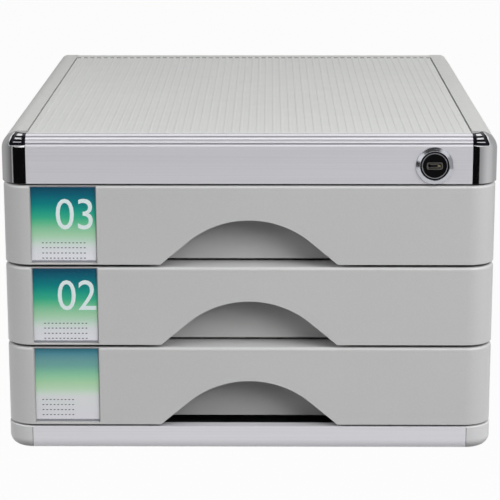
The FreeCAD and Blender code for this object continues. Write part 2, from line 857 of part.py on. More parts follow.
def drawer_screws(fascia_bottom):
    """Four screws that hold a tray to its front."""
    places = tray_screw_places(fascia_bottom)
    return Part.makeCompound([screw(*tray_screw_ends(x, z), -Y_AXIS) for x, z in places])


def lock_housing():
    """Lock housing: bright ring outside, barrel through the rail."""
    ring_front = front_y - lock_ring_proud
    ring = rod_y(lock_ring_radius, lock_x, lock_z, ring_front, front_y)
    outer_edge = [edge for edge in ring.Edges if edge.BoundBox.YMax < front_y - lock_ring_proud / 2
                  and edge.BoundBox.XLength > lock_ring_radius]
    ring = ring.makeFillet(lock_ring_edge, outer_edge)
    housing = ring.fuse(rod_y(lock_barrel_radius, lock_x, lock_z, front_y, barrel_back_y))
    groove = rod_y(lock_groove_radius, lock_x, lock_z, ring_front - overrun, ring_front + lock_groove_depth)
    bore = rod_y(plug_radius + fit_clearance, lock_x, lock_z, ring_front, barrel_back_y + overrun)
    return housing.cut(groove).cut(bore)


def lock_nut():
    """Round slotted nut behind the rail."""
    front = front_y + rail_wall
    back = front + nut_thickness
    nut = rod_y(nut_radius, lock_x, lock_z, front, back)
    nut = nut.cut(rod_y(lock_barrel_radius + fit_clearance, lock_x, lock_z, front - overrun, back + overrun))
    half = nut_slot_width / 2
    reach = nut_radius + overrun
    slot_low = back - nut_slot_depth
    nut = nut.cut(box(lock_x - reach, lock_x + reach, slot_low, back + overrun, lock_z - half, lock_z + half))
    return nut.cut(box(lock_x - half, lock_x + half, slot_low, back + overrun,
                       lock_z - reach, lock_z + reach))


def keyway(width, height, y_low, y_high):
    """Flat slot with round ends for the key."""
    radius = height / 2
    reach = width / 2 - radius
    slot = box(lock_x - reach, lock_x + reach, y_low, y_high, lock_z - radius, lock_z + radius)
    left_end = rod_y(radius, lock_x - reach, lock_z, y_low, y_high)
    right_end = rod_y(radius, lock_x + reach, lock_z, y_low, y_high)
    return slot.fuse([left_end, right_end])


def plug_front():
    """Place of the front face of the plug."""
    return front_y - lock_ring_proud + plug_set_back


def lock_plug():
    """Turning core of the lock, with the keyway and the square shank for the cam."""
    front = plug_front()
    plug = rod_y(plug_radius, lock_x, lock_z, front, cam_front_y)
    half = shank_size / 2
    shank = box(lock_x - half, lock_x + half, cam_front_y, cam_back_y, lock_z - half, lock_z + half)
    plug = plug.fuse(shank)
    seat_radius = face_disc_radius + fit_clearance
    plug = plug.cut(rod_y(seat_radius, lock_x, lock_z, front - overrun, front + face_disc_thickness))
    width = keyway_width * keyway_inner_share
    height = keyway_height * keyway_inner_share
    return plug.cut(keyway(width, height, front, front + keyway_depth))


def lock_face_disc():
    """Black face of the plug around the keyway."""
    front = plug_front()
    disc = rod_y(face_disc_radius, lock_x, lock_z, front, front + face_disc_thickness)
    return disc.cut(keyway(keyway_width, keyway_height, front - overrun, front + overrun))


def lock_cam():
    """Cam on the plug's shank, with the pin that lifts the lock bar."""
    hub = rod_y(cam_hub_radius, lock_x, lock_z, cam_front_y, cam_back_y)
    tip = rod_y(cam_tip_radius, pin_rest_x, pin_rest_z, cam_front_y, cam_back_y)
    web = box(0, pin_arm, 0, cam_thickness, -cam_tip_radius, cam_tip_radius)
    web.rotate(V(0, 0, 0), Y_AXIS, cam_turn_deg / 2)
    web.translate(V(lock_x, cam_front_y, lock_z))
    pin = rod_y(pin_radius, pin_rest_x, pin_rest_z, cam_front_y, bar_front_y + bar_thickness + pin_end)
    half = shank_size / 2 + fit_clearance
    hole = box(lock_x - half, lock_x + half, cam_front_y - overrun, cam_back_y + overrun,
               lock_z - half, lock_z + half)
    return joined([hub, tip, web, pin]).cut(hole)


def cam_screw():
    """Screw head that holds the cam on the shank."""
    return rod_y(cam_screw_radius, lock_x, lock_z, cam_back_y, cam_back_y + cam_screw_height)


def tab_low(fascia_bottom):
    """Height of a bar tab at rest, below the catch of its drawer."""
    return catch_bottom(fascia_bottom) + catch_margin - bar_travel


def lock_bar():
    """Upright strip that slides in the guides."""
    low = tab_low(fascia_bottoms[0]) - bar_end_margin
    return box(bar_inner, bar_outer, bar_front_y, bar_back_y, low, pin_rest_z + bar_arm_height / 2)


def lock_bar_arms():
    """Arm from the strip to the cam's pin, with its slot, and one tab for each drawer."""
    slot_half = pin_radius + pin_clearance
    slot_left = pin_rest_x - slot_half
    slot_right = lock_x + pin_arm + slot_half
    arm_back = bar_front_y + bar_thickness
    arm = box(slot_left - bar_arm_end, bar_inner, bar_front_y, arm_back,
              pin_rest_z - bar_arm_height / 2, pin_rest_z + bar_arm_height / 2)
    slot = box(slot_left, slot_right, bar_front_y - overrun, arm_back + overrun,
               pin_rest_z - slot_half, pin_rest_z + slot_half)
    pieces = [arm.cut(slot)]
    for fascia_bottom in fascia_bottoms:
        low = tab_low(fascia_bottom)
        pieces.append(box(bar_inner - tab_reach, bar_inner, bar_front_y, arm_back, low, low + tab_height))
    return Part.makeCompound(pieces)


def bar_guide(fascia_bottom):
    """Staple on the side panel that the lock bar slides through."""
    high = fascia_bottom + fascia_height - guide_drop
    low = high - guide_height
    inside_front = bar_front_y - bar_side_clearance
    inside_back = bar_back_y + bar_side_clearance
    front = inside_front - guide_thickness
    back = inside_back + guide_thickness
    face = bar_inner - bar_side_clearance
    foot = side_inner - guide_thickness
    return joined([
        box(face - guide_thickness, face, front, back, low, high),
        box(face, side_inner, front, inside_front, low, high),
        box(face, side_inner, inside_back, back, low, high),
        box(foot, side_inner, front - guide_foot, front, low, high),
        box(foot, side_inner, back, back + guide_foot, low, high),
    ])


def bar_guides():
    """One guide beside each drawer."""
    return Part.makeCompound([bar_guide(fascia_bottom) for fascia_bottom in fascia_bottoms])


def all_parts():
    """Every piece of the cabinet by name."""
    parts = {
        "base_plate": base_plate(),
        "base_side_rail_right": base_side_rail_right(),
        "base_back_rail": base_back_rail(),
        "base_spacers": base_spacers(),
        "base_front_strip": base_front_strip(),
        "base_corner_right": base_corner_right(),
        "foot_pads": foot_pads(),
        "cabinet_screws": cabinet_screws(),
        "side_panel_right": side_panel_right(),
        "back_panel": back_panel(),
        "top_front_rail": top_front_rail(),
        "corner_cap_right": corner_cap_right(),
        "top_side_rail_right": top_side_rail_right(),
        "top_back_rail": top_back_rail(),
        "top_panel": top_panel(),
        "lock_housing": lock_housing(),
        "lock_nut": lock_nut(),
        "lock_plug": lock_plug(),
        "lock_face_disc": lock_face_disc(),
        "lock_cam": lock_cam(),
        "cam_screw": cam_screw(),
        "lock_bar": lock_bar(),
        "lock_bar_arms": lock_bar_arms(),
        "bar_guides": bar_guides(),
    }
    for name, fascia_bottom in zip(drawer_names, fascia_bottoms):
        level = name.split("_")[0]
        parts[level + "_runner_right"] = runner_right(fascia_bottom)
        parts[name + "_tray"] = drawer_tray(fascia_bottom)
        parts[name + "_slides"] = drawer_slides(fascia_bottom)
        parts[name + "_catch"] = drawer_catch(fascia_bottom)
        parts[name + "_front"] = drawer_front(fascia_bottom)
        parts[name + "_backplate"] = drawer_backplate(fascia_bottom)
        parts[name + "_label_card"] = label_card(fascia_bottom)
        parts[name + "_label_cover"] = label_cover(fascia_bottom)
        parts[name + "_screws"] = drawer_screws(fascia_bottom)
    for name in [name for name in parts if name.endswith("_right")]:
        parts[name.replace("_right", "_left")] = mirrored(parts[name])
    return parts


def main():
    """Write one STEP file for each piece."""
    os.makedirs("parts", exist_ok=True)
    for name, shape in all_parts().items():
        shape.exportStep("parts/" + name + ".step")
    print("drawer travel", round(drawer_travel(), 3))
    print("lock axis", round(lock_x, 3), round(lock_z, 3), "bar travel", bar_travel)


main()
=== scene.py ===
"""Finished look of a three-drawer desktop cabinet, built over its fixed frame."""

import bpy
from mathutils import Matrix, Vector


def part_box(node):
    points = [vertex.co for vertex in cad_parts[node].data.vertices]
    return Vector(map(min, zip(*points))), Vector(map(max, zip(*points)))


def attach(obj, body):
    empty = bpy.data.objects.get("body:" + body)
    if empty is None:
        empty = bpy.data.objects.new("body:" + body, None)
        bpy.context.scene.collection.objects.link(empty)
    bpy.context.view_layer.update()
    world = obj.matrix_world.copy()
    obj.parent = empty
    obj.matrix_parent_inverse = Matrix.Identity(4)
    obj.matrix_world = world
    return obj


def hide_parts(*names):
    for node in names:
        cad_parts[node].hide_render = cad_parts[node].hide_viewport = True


bl_info = {
    "name": "Desktop File Drawer",
    "version": (1, 0, 0),
    "blender": (4, 5, 0),
    "location": "3D Viewport > Sidebar > File Drawer",
    "description": "Builds the pieces, the finishes and the stage of a desktop cabinet with three drawers",
    "category": "Object",
}

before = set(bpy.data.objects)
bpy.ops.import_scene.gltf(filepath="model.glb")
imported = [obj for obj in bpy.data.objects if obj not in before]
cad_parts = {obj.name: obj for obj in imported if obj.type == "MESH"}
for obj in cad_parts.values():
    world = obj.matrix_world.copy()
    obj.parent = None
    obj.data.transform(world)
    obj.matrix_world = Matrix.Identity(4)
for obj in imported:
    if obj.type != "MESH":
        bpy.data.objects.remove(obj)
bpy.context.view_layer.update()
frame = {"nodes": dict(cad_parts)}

import math

import bmesh
import bpy
from bpy.props import FloatProperty, FloatVectorProperty, PointerProperty
from mathutils import Matrix, Vector

DRAWERS = ("bottom_drawer", "middle_drawer", "top_drawer")
SIDES = ("right", "left")
FIT = 0.0001  # play between two pieces that lie against each other
OVER = 0.005  # how far a cutter reaches past the face that it cuts
PANEL_SEAT = 0.00305  # height of the ribbed panel's top above the shelf under it
SHELF_THICKNESS = 0.0016


# ---------------------------------------------------------------- places from the frame

rail_low, rail_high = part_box("top_front_rail")
cap_low, cap_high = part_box("corner_cap_right")
side_low, side_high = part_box("top_side_rail_right")
panel_low, panel_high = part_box("top_panel")
front_low, front_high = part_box("bottom_drawer_front")
cover_low, cover_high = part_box("bottom_drawer_label_cover")
ring_low, ring_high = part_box("lock_housing")
backplate_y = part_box("bottom_drawer_backplate")[0].y
key_face_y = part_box("lock_face_disc")[0].y

LOCK_AXIS = Vector(((ring_low.x + ring_high.x) / 2, 0, (ring_low.z + ring_high.z) / 2))
FRONT_Y = rail_low.y
SHELF_TOP = panel_high.z - PANEL_SEAT
SHELF_UNDER = SHELF_TOP - SHELF_THICKNESS


def screen(red, green, blue):
    """Linear colour of a screen colour whose parts run from 0 to 255."""
    def linear(part):
        share = part / 255
        return share / 12.92 if share <= 0.04045 else ((share + 0.055) / 1.055) ** 2.4
    return tuple(linear(part) for part in (red, green, blue))


# ---------------------------------------------------------------- what a user can change

def length(name, description, default):
    """Length property in metres."""
    return FloatProperty(name=name, description=description, default=default,
                         min=0.0, precision=5, unit="LENGTH")


def wattage(name, description, default):
    """Power property of a lamp in watts."""
    return FloatProperty(name=name, description=description, default=default, unit="POWER")


def colour(name, description, *parts):
    """Colour property whose default is written as a screen colour."""
    return FloatVectorProperty(name=name, description=description, default=screen(*parts), size=3,
                               min=0.0, max=1.0, subtype="COLOR")


class CabinetSizes(bpy.types.PropertyGroup):
    """Sizes of the pieces that are built over the frame."""

    edge_radius: length("Front edge radius", "Radius of the rounded top edge of the front rail", 0.008)
    side_radius: length("Side edge radius", "Radius of the rounded top edges of the side rails", 0.0105)
    back_corner: length("Back corner radius", "Radius of the upright back corners of the side rails", 0.0045)
    rail_wall: length("Rail wall", "Wall thickness of the front rail and its caps", 0.0018)
    groove_width: length("Groove width", "Width of one groove in the rounded top edge", 0.0018)
    groove_depth: length("Groove depth", "Depth of one groove in the rounded top edge", 0.0006)
    front_radius: length("Front corner radius", "Radius of the upright corners of a drawer front", 0.017)
    front_wall: length("Front wall", "Thickness of the face of a drawer front", 0.0026)
    front_edge: length("Front top edge", "Radius of the top edge of a drawer front", 0.0019)
    under_gap: length("Gap under a front", "Height by which the upper two fronts are cut short below", 0.0005)
    over_gap: length("Gap over a front", "Height by which a drawer front is cut short at its top", 0.0003)
    deck_drop: length("Deck drop", "Depth of the flat top of a drawer front behind its front edge", 0.0004)
    ledge_wall: length("Ledge wall", "Thickness of the top and the ribs of a drawer front", 0.0024)
    pocket_half: length("Finger pocket half width", "Half of the inner width of the finger pocket", 0.058)
    arch_height: length("Arch height", "Height of the finger arch above the bottom of a drawer front", 0.028)
    arch_radius: length("Arch radius", "Radius of the top of the finger arch", 0.058)
    arch_turn: FloatProperty(name="Arch turn", description="Turn of the arch on each side of its middle",
                             default=math.radians(40), subtype="ANGLE")
    rib_height: length("Rib height", "Height of the ribs on the top panel", 0.00034)
    rib_width: length("Rib width", "Width of one rib on the top panel", 0.002)
    rib_pitch: length("Rib pitch", "Distance between the middles of two ribs", 0.005)
    label_gap: length("Label gap", "Gap between a label cover and the drawer front", 0.0004)
    label_recess: length("Label recess", "Depth of the recess for a label", 0.0015)
    softened_edge: length("Softened edge", "Width of the bevel that breaks a sharp edge", 0.00025)
    card_drop: length("Card drop", "How far a label card reaches below the card of the frame", 0.0015)
    figure_height: length("Figure height", "Height of the figures printed on a label", 0.0190)


class CabinetColours(bpy.types.PropertyGroup):
    """Colours of the finishes."""

    aluminium: colour("Aluminium", "Front rail and base strip", 225, 224, 229)
    # The grooves' darker aluminium is painted shade.
    groove: colour("Grooves", "Bottoms of the grooves in the front rail", 160, 159, 166)
    # Painted dark reflection in the caps' grooves and recesses, and painted shade in the rail's seam groove and
    # the base's joints.
    painted_dark_reflection_and_shade: colour("Dark grooves", "Bottoms of the grooves in the caps", 30, 30, 36)
    plating: colour("Plating", "Corner caps and lock plug", 226, 226, 228)
    flange: colour("Flange", "Plated flange of the lock", 189, 190, 197)
    # A lighter, less metallic copy of the aluminium: a painted highlight on the ridges.
    painted_ridge_highlight: colour("Ridges", "Burnished ridges between the grooves of the front rail", 222, 221, 226)
    drawer: colour("Drawer fronts", "Silver moulded fronts", 199, 199, 199)
    frame: colour("Top frame", "Side and back rails of the top frame", 196, 197, 194)
    panel: colour("Ribbed panel", "Ribbed panel in the top frame", 202, 203, 201)
    base: colour("Base and sides", "Base rails and side panels", 206, 206, 208)
    # Lighter than the base plastic: painted light on the base corners.
    corner: colour("Base corners", "Rounded corner pieces of the base", 213, 213, 214)
    inner: colour("Inner parts", "Base plate, runners and slides", 120, 122, 124)
    back: colour("Back panel", "Panel behind the drawers", 150, 151, 152)
    tray: colour("Trays", "Trays behind the drawer fronts", 176, 177, 178)
    backplate: colour("Pocket wall", "Wall behind the finger pocket", 200, 200, 200)
    steel: colour("Steel", "Screws, bar, guides and cam", 190, 190, 188)
    black: colour("Lock face", "Black face of the lock", 7, 7, 9)
    keyway: colour("Keyway", "Frame of the keyway and its shutter", 128, 124, 118)
    brass: colour("Keyway brass", "Leaves inside the keyway", 196, 184, 150)
    # Also the dark strips under the front rail and behind the ribbed panel, which stand in for the shade in those
    # gaps.
    rubber: colour("Feet", "Rubber foot pads", 38, 38, 40)
    figure: colour("Label figures", "Figures printed on a label", 236, 250, 250)
    line: colour("Label lines", "Dotted writing lines on a label", 70, 76, 84)


class CabinetStudio(bpy.types.PropertyGroup):
    """Light and floor."""

    key_power: wattage("Main lamp", "Power of the large soft lamp", 39.5)
    fill_power: wattage("Fill lamp", "Power of the soft lamp on the left", 19.0)
    back_power: wattage("Back lamp", "Power of the soft lamp behind", 6.0)
    ambient: FloatProperty(name="Ambient", description="Strength of the even light from all round",
                           default=0.07, min=0.0)
    floor: colour("Floor", "Colour of the floor", 104, 104, 104)
    floor_show: FloatProperty(name="White share",
                              description="How far the floor is lifted to white for the camera",
                              default=0.97, min=0.0, max=1.0, subtype="FACTOR")


# ---------------------------------------------------------------- finishes

def add_node(tree, kind, inputs=None, **settings):
    """Add a shader node; an input given as a socket is linked and any other value is set."""
    made = tree.nodes.new(kind)
    for name, value in settings.items():
        setattr(made, name, value)
    for name, value in (inputs or {}).items():
        if isinstance(value, bpy.types.NodeSocket):
            tree.links.new(value, made.inputs[name])
        else:
            made.inputs[name].default_value = value
    return made


def shaded(base, factor):
    """Colour made darker or lighter, with full opacity."""
    return tuple(min(1.0, part * factor) for part in base) + (1.0,)


def empty_tree(owner):
    """Node tree of a material or a world, without nodes."""
    owner.use_nodes = True
    owner.node_tree.nodes.clear()
    return owner.node_tree


def show(tree, shader, kind="ShaderNodeOutputMaterial"):
    """Let a shader be the surface of its material or world."""
    tree.links.new(shader, add_node(tree, kind).inputs["Surface"])


def start_finish(name):
    """New material with its principled shader and the coordinates of the object."""
    material = bpy.data.materials.new(name)
    tree = empty_tree(material)
    shader = add_node(tree, "ShaderNodeBsdfPrincipled")
    show(tree, shader.outputs["BSDF"])
    place = add_node(tree, "ShaderNodeTexCoord").outputs["Object"]
    return material, tree, shader, place


def fill_ramp(ramp, stops):
    """Give a colour ramp its stops, in rising order."""
    elements = ramp.color_ramp.elements
    while len(elements) < len(stops):
        elements.new(1.0)
    for element, (position, tint) in zip(elements, stops):
        element.position = position
        element.color = tint


DRIFT = (0.3, 0.7)  # band of the noise over which a value runs from its low to its high end
EVEN = (1, 1, 1)
BRUSH_LINES = (1.2, 420.0, 420.0)
BRUSH_SCORES = (2.0, 900.0, 900.0)
CARD_SPECKLE = 0.03  # how far the print's shade wanders up and down the card
CARD_GAIN, CARD_TOP = 1.2, 0.97  # brightening of the print and its upper limit


def noise(tree, place, scale, detail, stretch=EVEN):
    """Cloudy pattern over the surface, finer or longer along the axes that are stretched."""
    moved = add_node(tree, "ShaderNodeMapping", {"Vector": place, "Scale": stretch})
    cloud = add_node(tree, "ShaderNodeTexNoise", {"Vector": moved.outputs["Vector"], "Scale": scale,
                                                  "Detail": detail})
    return cloud.outputs["Fac"]


def mottle(tree, place, scale, low, high, stretch=EVEN, detail=3.0):
    """Colours that drift between low and high over the surface."""
    ramp = add_node(tree, "ShaderNodeValToRGB", {"Fac": noise(tree, place, scale, detail, stretch)})
    fill_ramp(ramp, list(zip(DRIFT, (low, high))))
    return ramp.outputs["Color"]


def varied(tree, place, scale, low, high, stretch=EVEN, detail=3.0):
    """Number that drifts between low and high over the surface."""
    spread = add_node(tree, "ShaderNodeMapRange", {"Value": noise(tree, place, scale, detail, stretch),
                                                   "From Min": DRIFT[0], "From Max": DRIFT[1],
                                                   "To Min": low, "To Max": high})
    return spread.outputs["Result"]


def grain(tree, shader, height, strength, distance):
    """Bump from a height pattern."""
    bump = add_node(tree, "ShaderNodeBump", {"Height": height, "Strength": strength, "Distance": distance})
    tree.links.new(bump.outputs["Normal"], shader.inputs["Normal"])


def skin(name, tint, gloss, bump=None, levels=(), lines=EVEN, scores=EVEN, detail=3.0):
    """Material whose colour and roughness drift over the surface.

    tint and gloss are scale, low and high; bump is scale, detail, strength and depth; levels are pairs of a
    shader socket and its plain value; lines and scores stretch the drift and the bump.
    """
    material, tree, shader, place = start_finish(name)
    tree.links.new(mottle(tree, place, *tint, lines, detail), shader.inputs["Base Color"])
    tree.links.new(varied(tree, place, *gloss, lines, detail), shader.inputs["Roughness"])
    if bump:
        scale, fineness, strength, depth = bump
        grain(tree, shader, noise(tree, place, scale, fineness, scores), strength, depth)
    for socket, level in levels:
        shader.inputs[socket].default_value = level
    return material


def moulded_plastic(name, base, roughness=0.5, contrast=0.02, bump=0.12, specular=0.4):
    """Satin moulded plastic with a faint cloudiness and a very fine spark-eroded grain."""
    return skin(name, (7.0, shaded(base, 1 - contrast), shaded(base, 1 + contrast)),
                (60.0, roughness - 0.05, roughness + 0.05), (2200.0, 2.0, bump, 0.00008),
                [("Specular IOR Level", specular)])


def metallic_lacquer(name, base, roughness=0.42):
    """Silver lacquer on plastic: faint metal flakes in a satin coat."""
    material, tree, shader, place = start_finish(name)
    cloud = mottle(tree, place, 9.0, shaded(base, 0.985), shaded(base, 1.015))
    flakes = add_node(tree, "ShaderNodeTexVoronoi", {"Vector": place, "Scale": 1700.0})
    glint = add_node(tree, "ShaderNodeMapRange", {"Value": flakes.outputs["Distance"], "From Min": 0.0,
                                                  "From Max": 0.8, "To Min": 0.965, "To Max": 1.03})
    mixed = add_node(tree, "ShaderNodeVectorMath", {0: cloud, "Scale": glint.outputs["Result"]},
                     operation="SCALE")
    tree.links.new(mixed.outputs["Vector"], shader.inputs["Base Color"])
    gloss = varied(tree, place, 45.0, roughness - 0.04, roughness + 0.05)
    tree.links.new(gloss, shader.inputs["Roughness"])
    grain(tree, shader, noise(tree, place, 1900.0, 2.0), 0.1, 0.00006)
    shader.inputs["Metallic"].default_value = 0.12
    return material


def brushed_aluminium(name, base, metallic=0.4, roughness=0.42):
    """Anodised aluminium with fine brush lines along X."""
    return skin(name, (4.0, shaded(base, 0.965), shaded(base, 1.03)),
                (5.0, roughness - 0.06, roughness + 0.08), (6.0, 4.0, 0.08, 0.00005),
                [("Metallic", metallic)], BRUSH_LINES, BRUSH_SCORES, 5.0)


def bright_plating(name, base, roughness=0.07):
    """Bright plating with a faint haze and the slight waviness of a moulded core."""
    return skin(name, (30.0, shaded(base, 0.96), shaded(base, 1.0)),
                (120.0, roughness - 0.02, roughness + 0.03), (70.0, 1.0, 0.05, 0.0004), [("Metallic", 1.0)])


def satin_plating(name, base, metallic=0.6, roughness=0.3):
    """Satin plating with a fine turned grain and slightly cloudy shine."""
    return skin(name, (160.0, shaded(base, 0.96), shaded(base, 1.02)),
                (300.0, roughness - 0.03, roughness + 0.04), (2400.0, 2.0, 0.01, 0.00001),
                [("Metallic", metallic)])


def plated_steel(name, base):
    """Zinc plated steel: cloudy colour, small pits and a soft shine."""
    return skin(name, (160.0, shaded(base, 0.86), shaded(base, 1.05)), (300.0, 0.28, 0.45),
                (900.0, 3.0, 0.15, 0.00005), [("Metallic", 0.9)])


def matt_rubber(name, base):
    """Matt rubber with a dusty, slightly rough skin."""
    return skin(name, (220.0, shaded(base, 0.8), shaded(base, 1.35)), (500.0, 0.75, 0.92),
                (1500.0, 2.0, 0.3, 0.0001))


def clear_cover(name):
    """Clear moulded cover with a faint haze."""
    return skin(name, (40.0, (0.10, 0.12, 0.12, 1.0), (0.14, 0.16, 0.16, 1.0)), (70.0, 0.06, 0.12),
                levels=[("Alpha", 0.02), ("Specular IOR Level", 0.3)])


def printed_ink(name, base):
    """Flat ink with a slightly uneven cover."""
    return skin(name, (900.0, shaded(base, 0.96), shaded(base, 1.03)), (400.0, 0.4, 0.5))


def printed_card(name, stops):
    """Coated card printed with a shade that runs from its bottom to its top."""
    material, tree, shader, place = start_finish(name)
    spot = add_node(tree, "ShaderNodeUVMap", uv_map="print").outputs["UV"]
    height = add_node(tree, "ShaderNodeSeparateXYZ", {"Vector": spot}).outputs["Y"]
    speckle = add_node(tree, "ShaderNodeMath", {0: noise(tree, place, 2600.0, 1.0), 1: CARD_SPECKLE,
                                                2: -CARD_SPECKLE / 2}, operation="MULTIPLY_ADD")
    level = add_node(tree, "ShaderNodeMath", {0: height, 1: speckle.outputs["Value"]}, operation="ADD")
    ramp = add_node(tree, "ShaderNodeValToRGB", {"Fac": level.outputs["Value"]})
    fill_ramp(ramp, [(position, tuple(min(CARD_TOP, CARD_GAIN * part) for part in screen(*parts)) + (1.0,))
                     for position, parts in stops])
    tree.links.new(ramp.outputs["Color"], shader.inputs["Base Color"])
    tree.links.new(varied(tree, place, 90.0, 0.42, 0.52), shader.inputs["Roughness"])
    shader.inputs["Specular IOR Level"].default_value = 0.2
    return material


# ---------------------------------------------------------------- mesh work

def mesh_from(name, points, faces):
    """Mesh with outward normals and without doubled points."""
    work = bmesh.new()
    made = [work.verts.new(point) for point in points]
    for face in faces:
        work.faces.new([made[index] for index in face])
    bmesh.ops.remove_doubles(work, verts=work.verts, dist=1e-7)
    bmesh.ops.recalc_face_normals(work, faces=work.faces)
    mesh = bpy.data.meshes.new(name)
    work.to_mesh(mesh)
    work.free()
    return mesh


def loft(name, sections, ends=True):
    """Skin through closed sections with equal numbers of points; ends closes the first and the last."""
    count = len(sections[0])
    points = [point for section in sections for point in section]
    faces = []
    for row in range(len(sections) - 1):
        for step in range(count):
            after = (step + 1) % count
            faces.append((row * count + step, row * count + after,
                          (row + 1) * count + after, (row + 1) * count + step))
    if ends:
        last = (len(sections) - 1) * count
        faces.append(tuple(range(count)))
        faces.append(tuple(last + step for step in range(count)))
    return mesh_from(name, points, faces)


def block(name, low, high):
    """Box between two corners."""
    def ring(z):
        return [(low[0], low[1], z), (high[0], low[1], z), (high[0], high[1], z), (low[0], high[1], z)]
    return loft(name, [ring(low[2]), ring(high[2])])


def lathe(name, profile, centre, steps=96):
    """Closed profile of (radius, y) pairs turned round an axis along Y."""
    sections = []
    for step in range(steps):
        turn = 2 * math.pi * step / steps
        sections.append([(centre.x + radius * math.cos(turn), y, centre.z + radius * math.sin(turn))
                         for radius, y in profile])
    sections.append(sections[0])
    return loft(name, sections, ends=False)


def rod(name, centre, radius, start, end, steps=64):
    """Round rod along Y, used as a cutter."""
    def ring(y):
        turns = [2 * math.pi * step / steps for step in range(steps)]
        return [(centre.x + radius * math.cos(turn), y, centre.z + radius * math.sin(turn)) for turn in turns]
    return loft(name, [ring(start), ring(end)])


def oblong(name, centre, half_x, half_z, radius, start, end, steps=6):
    """Rounded bar along Y between two depths."""
    def ring(y):
        points = []
        for corner, (side_x, side_z) in enumerate(((1, 1), (-1, 1), (-1, -1), (1, -1))):
            for step in range(steps + 1):
                angle = math.radians(90.0 * corner + 90.0 * step / steps)
                points.append((centre.x + side_x * (half_x - radius) + radius * math.cos(angle), y,
                               centre.z + side_z * (half_z - radius) + radius * math.sin(angle)))
        return points
    return loft(name, [ring(start), ring(end)])


def baked(mesh, cutters=(), bevel=0.0, angle=35):
    """Mesh after its cutters are taken away and the edges sharper than angle are broken."""
    scene = bpy.context.scene
    body = bpy.data.objects.new("work", mesh)
    scene.collection.objects.link(body)
    made = [body]
    for cutter in cutters:
        tool = bpy.data.objects.new("cutter", cutter)
        scene.collection.objects.link(tool)
        made.append(tool)
        cut = body.modifiers.new("cut", "BOOLEAN")
        cut.operation = "DIFFERENCE"
        cut.solver = "EXACT"
        cut.object = tool
    if bevel:
        soften = body.modifiers.new("soften", "BEVEL")
        soften.width = bevel
        soften.segments = 2
        soften.limit_method = "ANGLE"
        soften.angle_limit = math.radians(angle)
        soften.miter_outer = "MITER_ARC"
    graph = bpy.context.evaluated_depsgraph_get()
    result = bpy.data.meshes.new_from_object(body.evaluated_get(graph), depsgraph=graph)
    for item in made:
        data = item.data
        bpy.data.objects.remove(item)
        if data is not result:
            bpy.data.meshes.remove(data)
    return result


def add_piece(name, mesh, finish, body, slot, *nodes, sharp=35):
    """Link a piece, give it its finish and let it ride on its body."""
    mesh.name = name
    mesh.materials.clear()
    mesh.materials.append(finish)
    mesh.shade_smooth()
    mesh.set_sharp_from_angle(angle=math.radians(sharp))
    piece = bpy.data.objects.new(name, mesh)
    bpy.context.scene.collection.objects.link(piece)
    even = piece.modifiers.new("even_faces", "WEIGHTED_NORMAL")
    even.weight = 100
    even.keep_sharp = True
    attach(piece, body)
    if nodes:
        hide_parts(*nodes)
    return piece


def of_drawers(ending):
    """Names of one piece of the frame in each drawer."""
    return [drawer + ending for drawer in DRAWERS]


def refinish(finish, *nodes):
    """Give pieces of the frame a better finish."""
    for node in nodes:
        materials = frame["nodes"][node].data.materials
        if not len(materials):
            materials.append(finish)
        for index in range(len(materials)):
            materials[index] = finish


# ---------------------------------------------------------------- top frame

GROOVE_TURNS = (20.0, 35.5, 55.5, 84.0)  # middles of the grooves, in degrees of turn from the front face
RIDGE_TURNS = (7.0, GROOVE_TURNS[2])  # the ridges with the painted highlight lie between these turns
SEAM_TURN = 72.0  # a groove beyond this turn takes the darker painted shade of the seam at the panel
GROOVE_BAND = (0.3, 1.2)  # the shares of the groove depth that take the painted shade of a groove
FACING_OUT = -0.3  # a face whose normal has less than this along Y is on the rail's outside
SMALL_CREASE = 28  # degrees from which an edge stays sharp on a finely rounded piece
RAIL_LIP = 0.0003  # flat top of the front rail behind its rounded edge
LOCK_HOLE = 0.00945
# The dark strip under the front rail, which stands in for the shade in the gap there.
SHADE_STRIP_INSET, SHADE_STRIP_THICKNESS, SHADE_STRIP_HANG, SHADE_STRIP_RISE = 0.0005, 0.0015, 0.0007, 0.0014

CAP_LIP = 0.0005  # radius of the cap's small opening round its axis
CAP_WIDENING = 1.4  # how much wider a groove is on a cap than on the rail
RECESS_LENGTH, RECESS_TAPER, RECESS_SLOPE = 0.0107, 0.0034, 0.001  # of the recess along a cap's corner, which takes a painted dark reflection
RIDGE_START, RIDGE_START_SLOPE = 0.0026, 0.0014  # where a cap's ridges rise out of the recess
RIDGE_STOP, RIDGE_STOP_SLOPE = 0.0032, 0.0016  # how far before the recess's end they stop

REAR_LENGTH, REAR_TIGHTENING = 0.016, 0.0055  # last stretch of a side rail, and the radius its edge loses there
REAR_INSET_SHARE, REAR_DROP_SHARE = 0.5, 0.8
REAR_PLAY = FIT / 2
LIP_X = cap_low.x + 0.0007  # inner side of a side rail's top
PLUG_BACKS = (0.0034, 0.0022, 0.0012, 0.0005)  # the plug's sections, measured from the rail's rear end
SHELF_LAP, SHELF_BACK = 0.0016, 0.0062  # reach of a side shelf past the cap's axis, and its gap behind

PLATE_BACK = 0.0032  # gap behind the ribbed plate that the dark strip fills, standing in for the shade there
PLATE_FRONT = 0.0024  # gap between the front rail and the ribbed plate
PANEL_SHADE_STRIP_HEIGHT = 0.0021
RIB_MARGIN, RIB_ROOT, RIB_SINK, RIB_FULLNESS = 0.0025, 0.0005, 0.00002, 0.6
RIB_ENDS = (0.0002, 0.0008)  # start of a rib behind the plate's front edge, and start of its full height


def within(value):
    """Number kept between nought and one."""
    return min(1.0, max(0.0, value))


def eased(value):
    """Smooth step from nought to one."""
    share = within(value)
    return share * share * (3 - 2 * share)


def groove_share(sizes, turn, widen=1.0):
    """Share of the groove depth by which the rounded edge is cut in at one turn in degrees."""
    half = widen * math.degrees(sizes.groove_width / 2 / sizes.edge_radius)
    away = min(abs(turn - centre) for centre in GROOVE_TURNS)
    return math.cos(math.pi / 2 * within(away / half)) ** 2


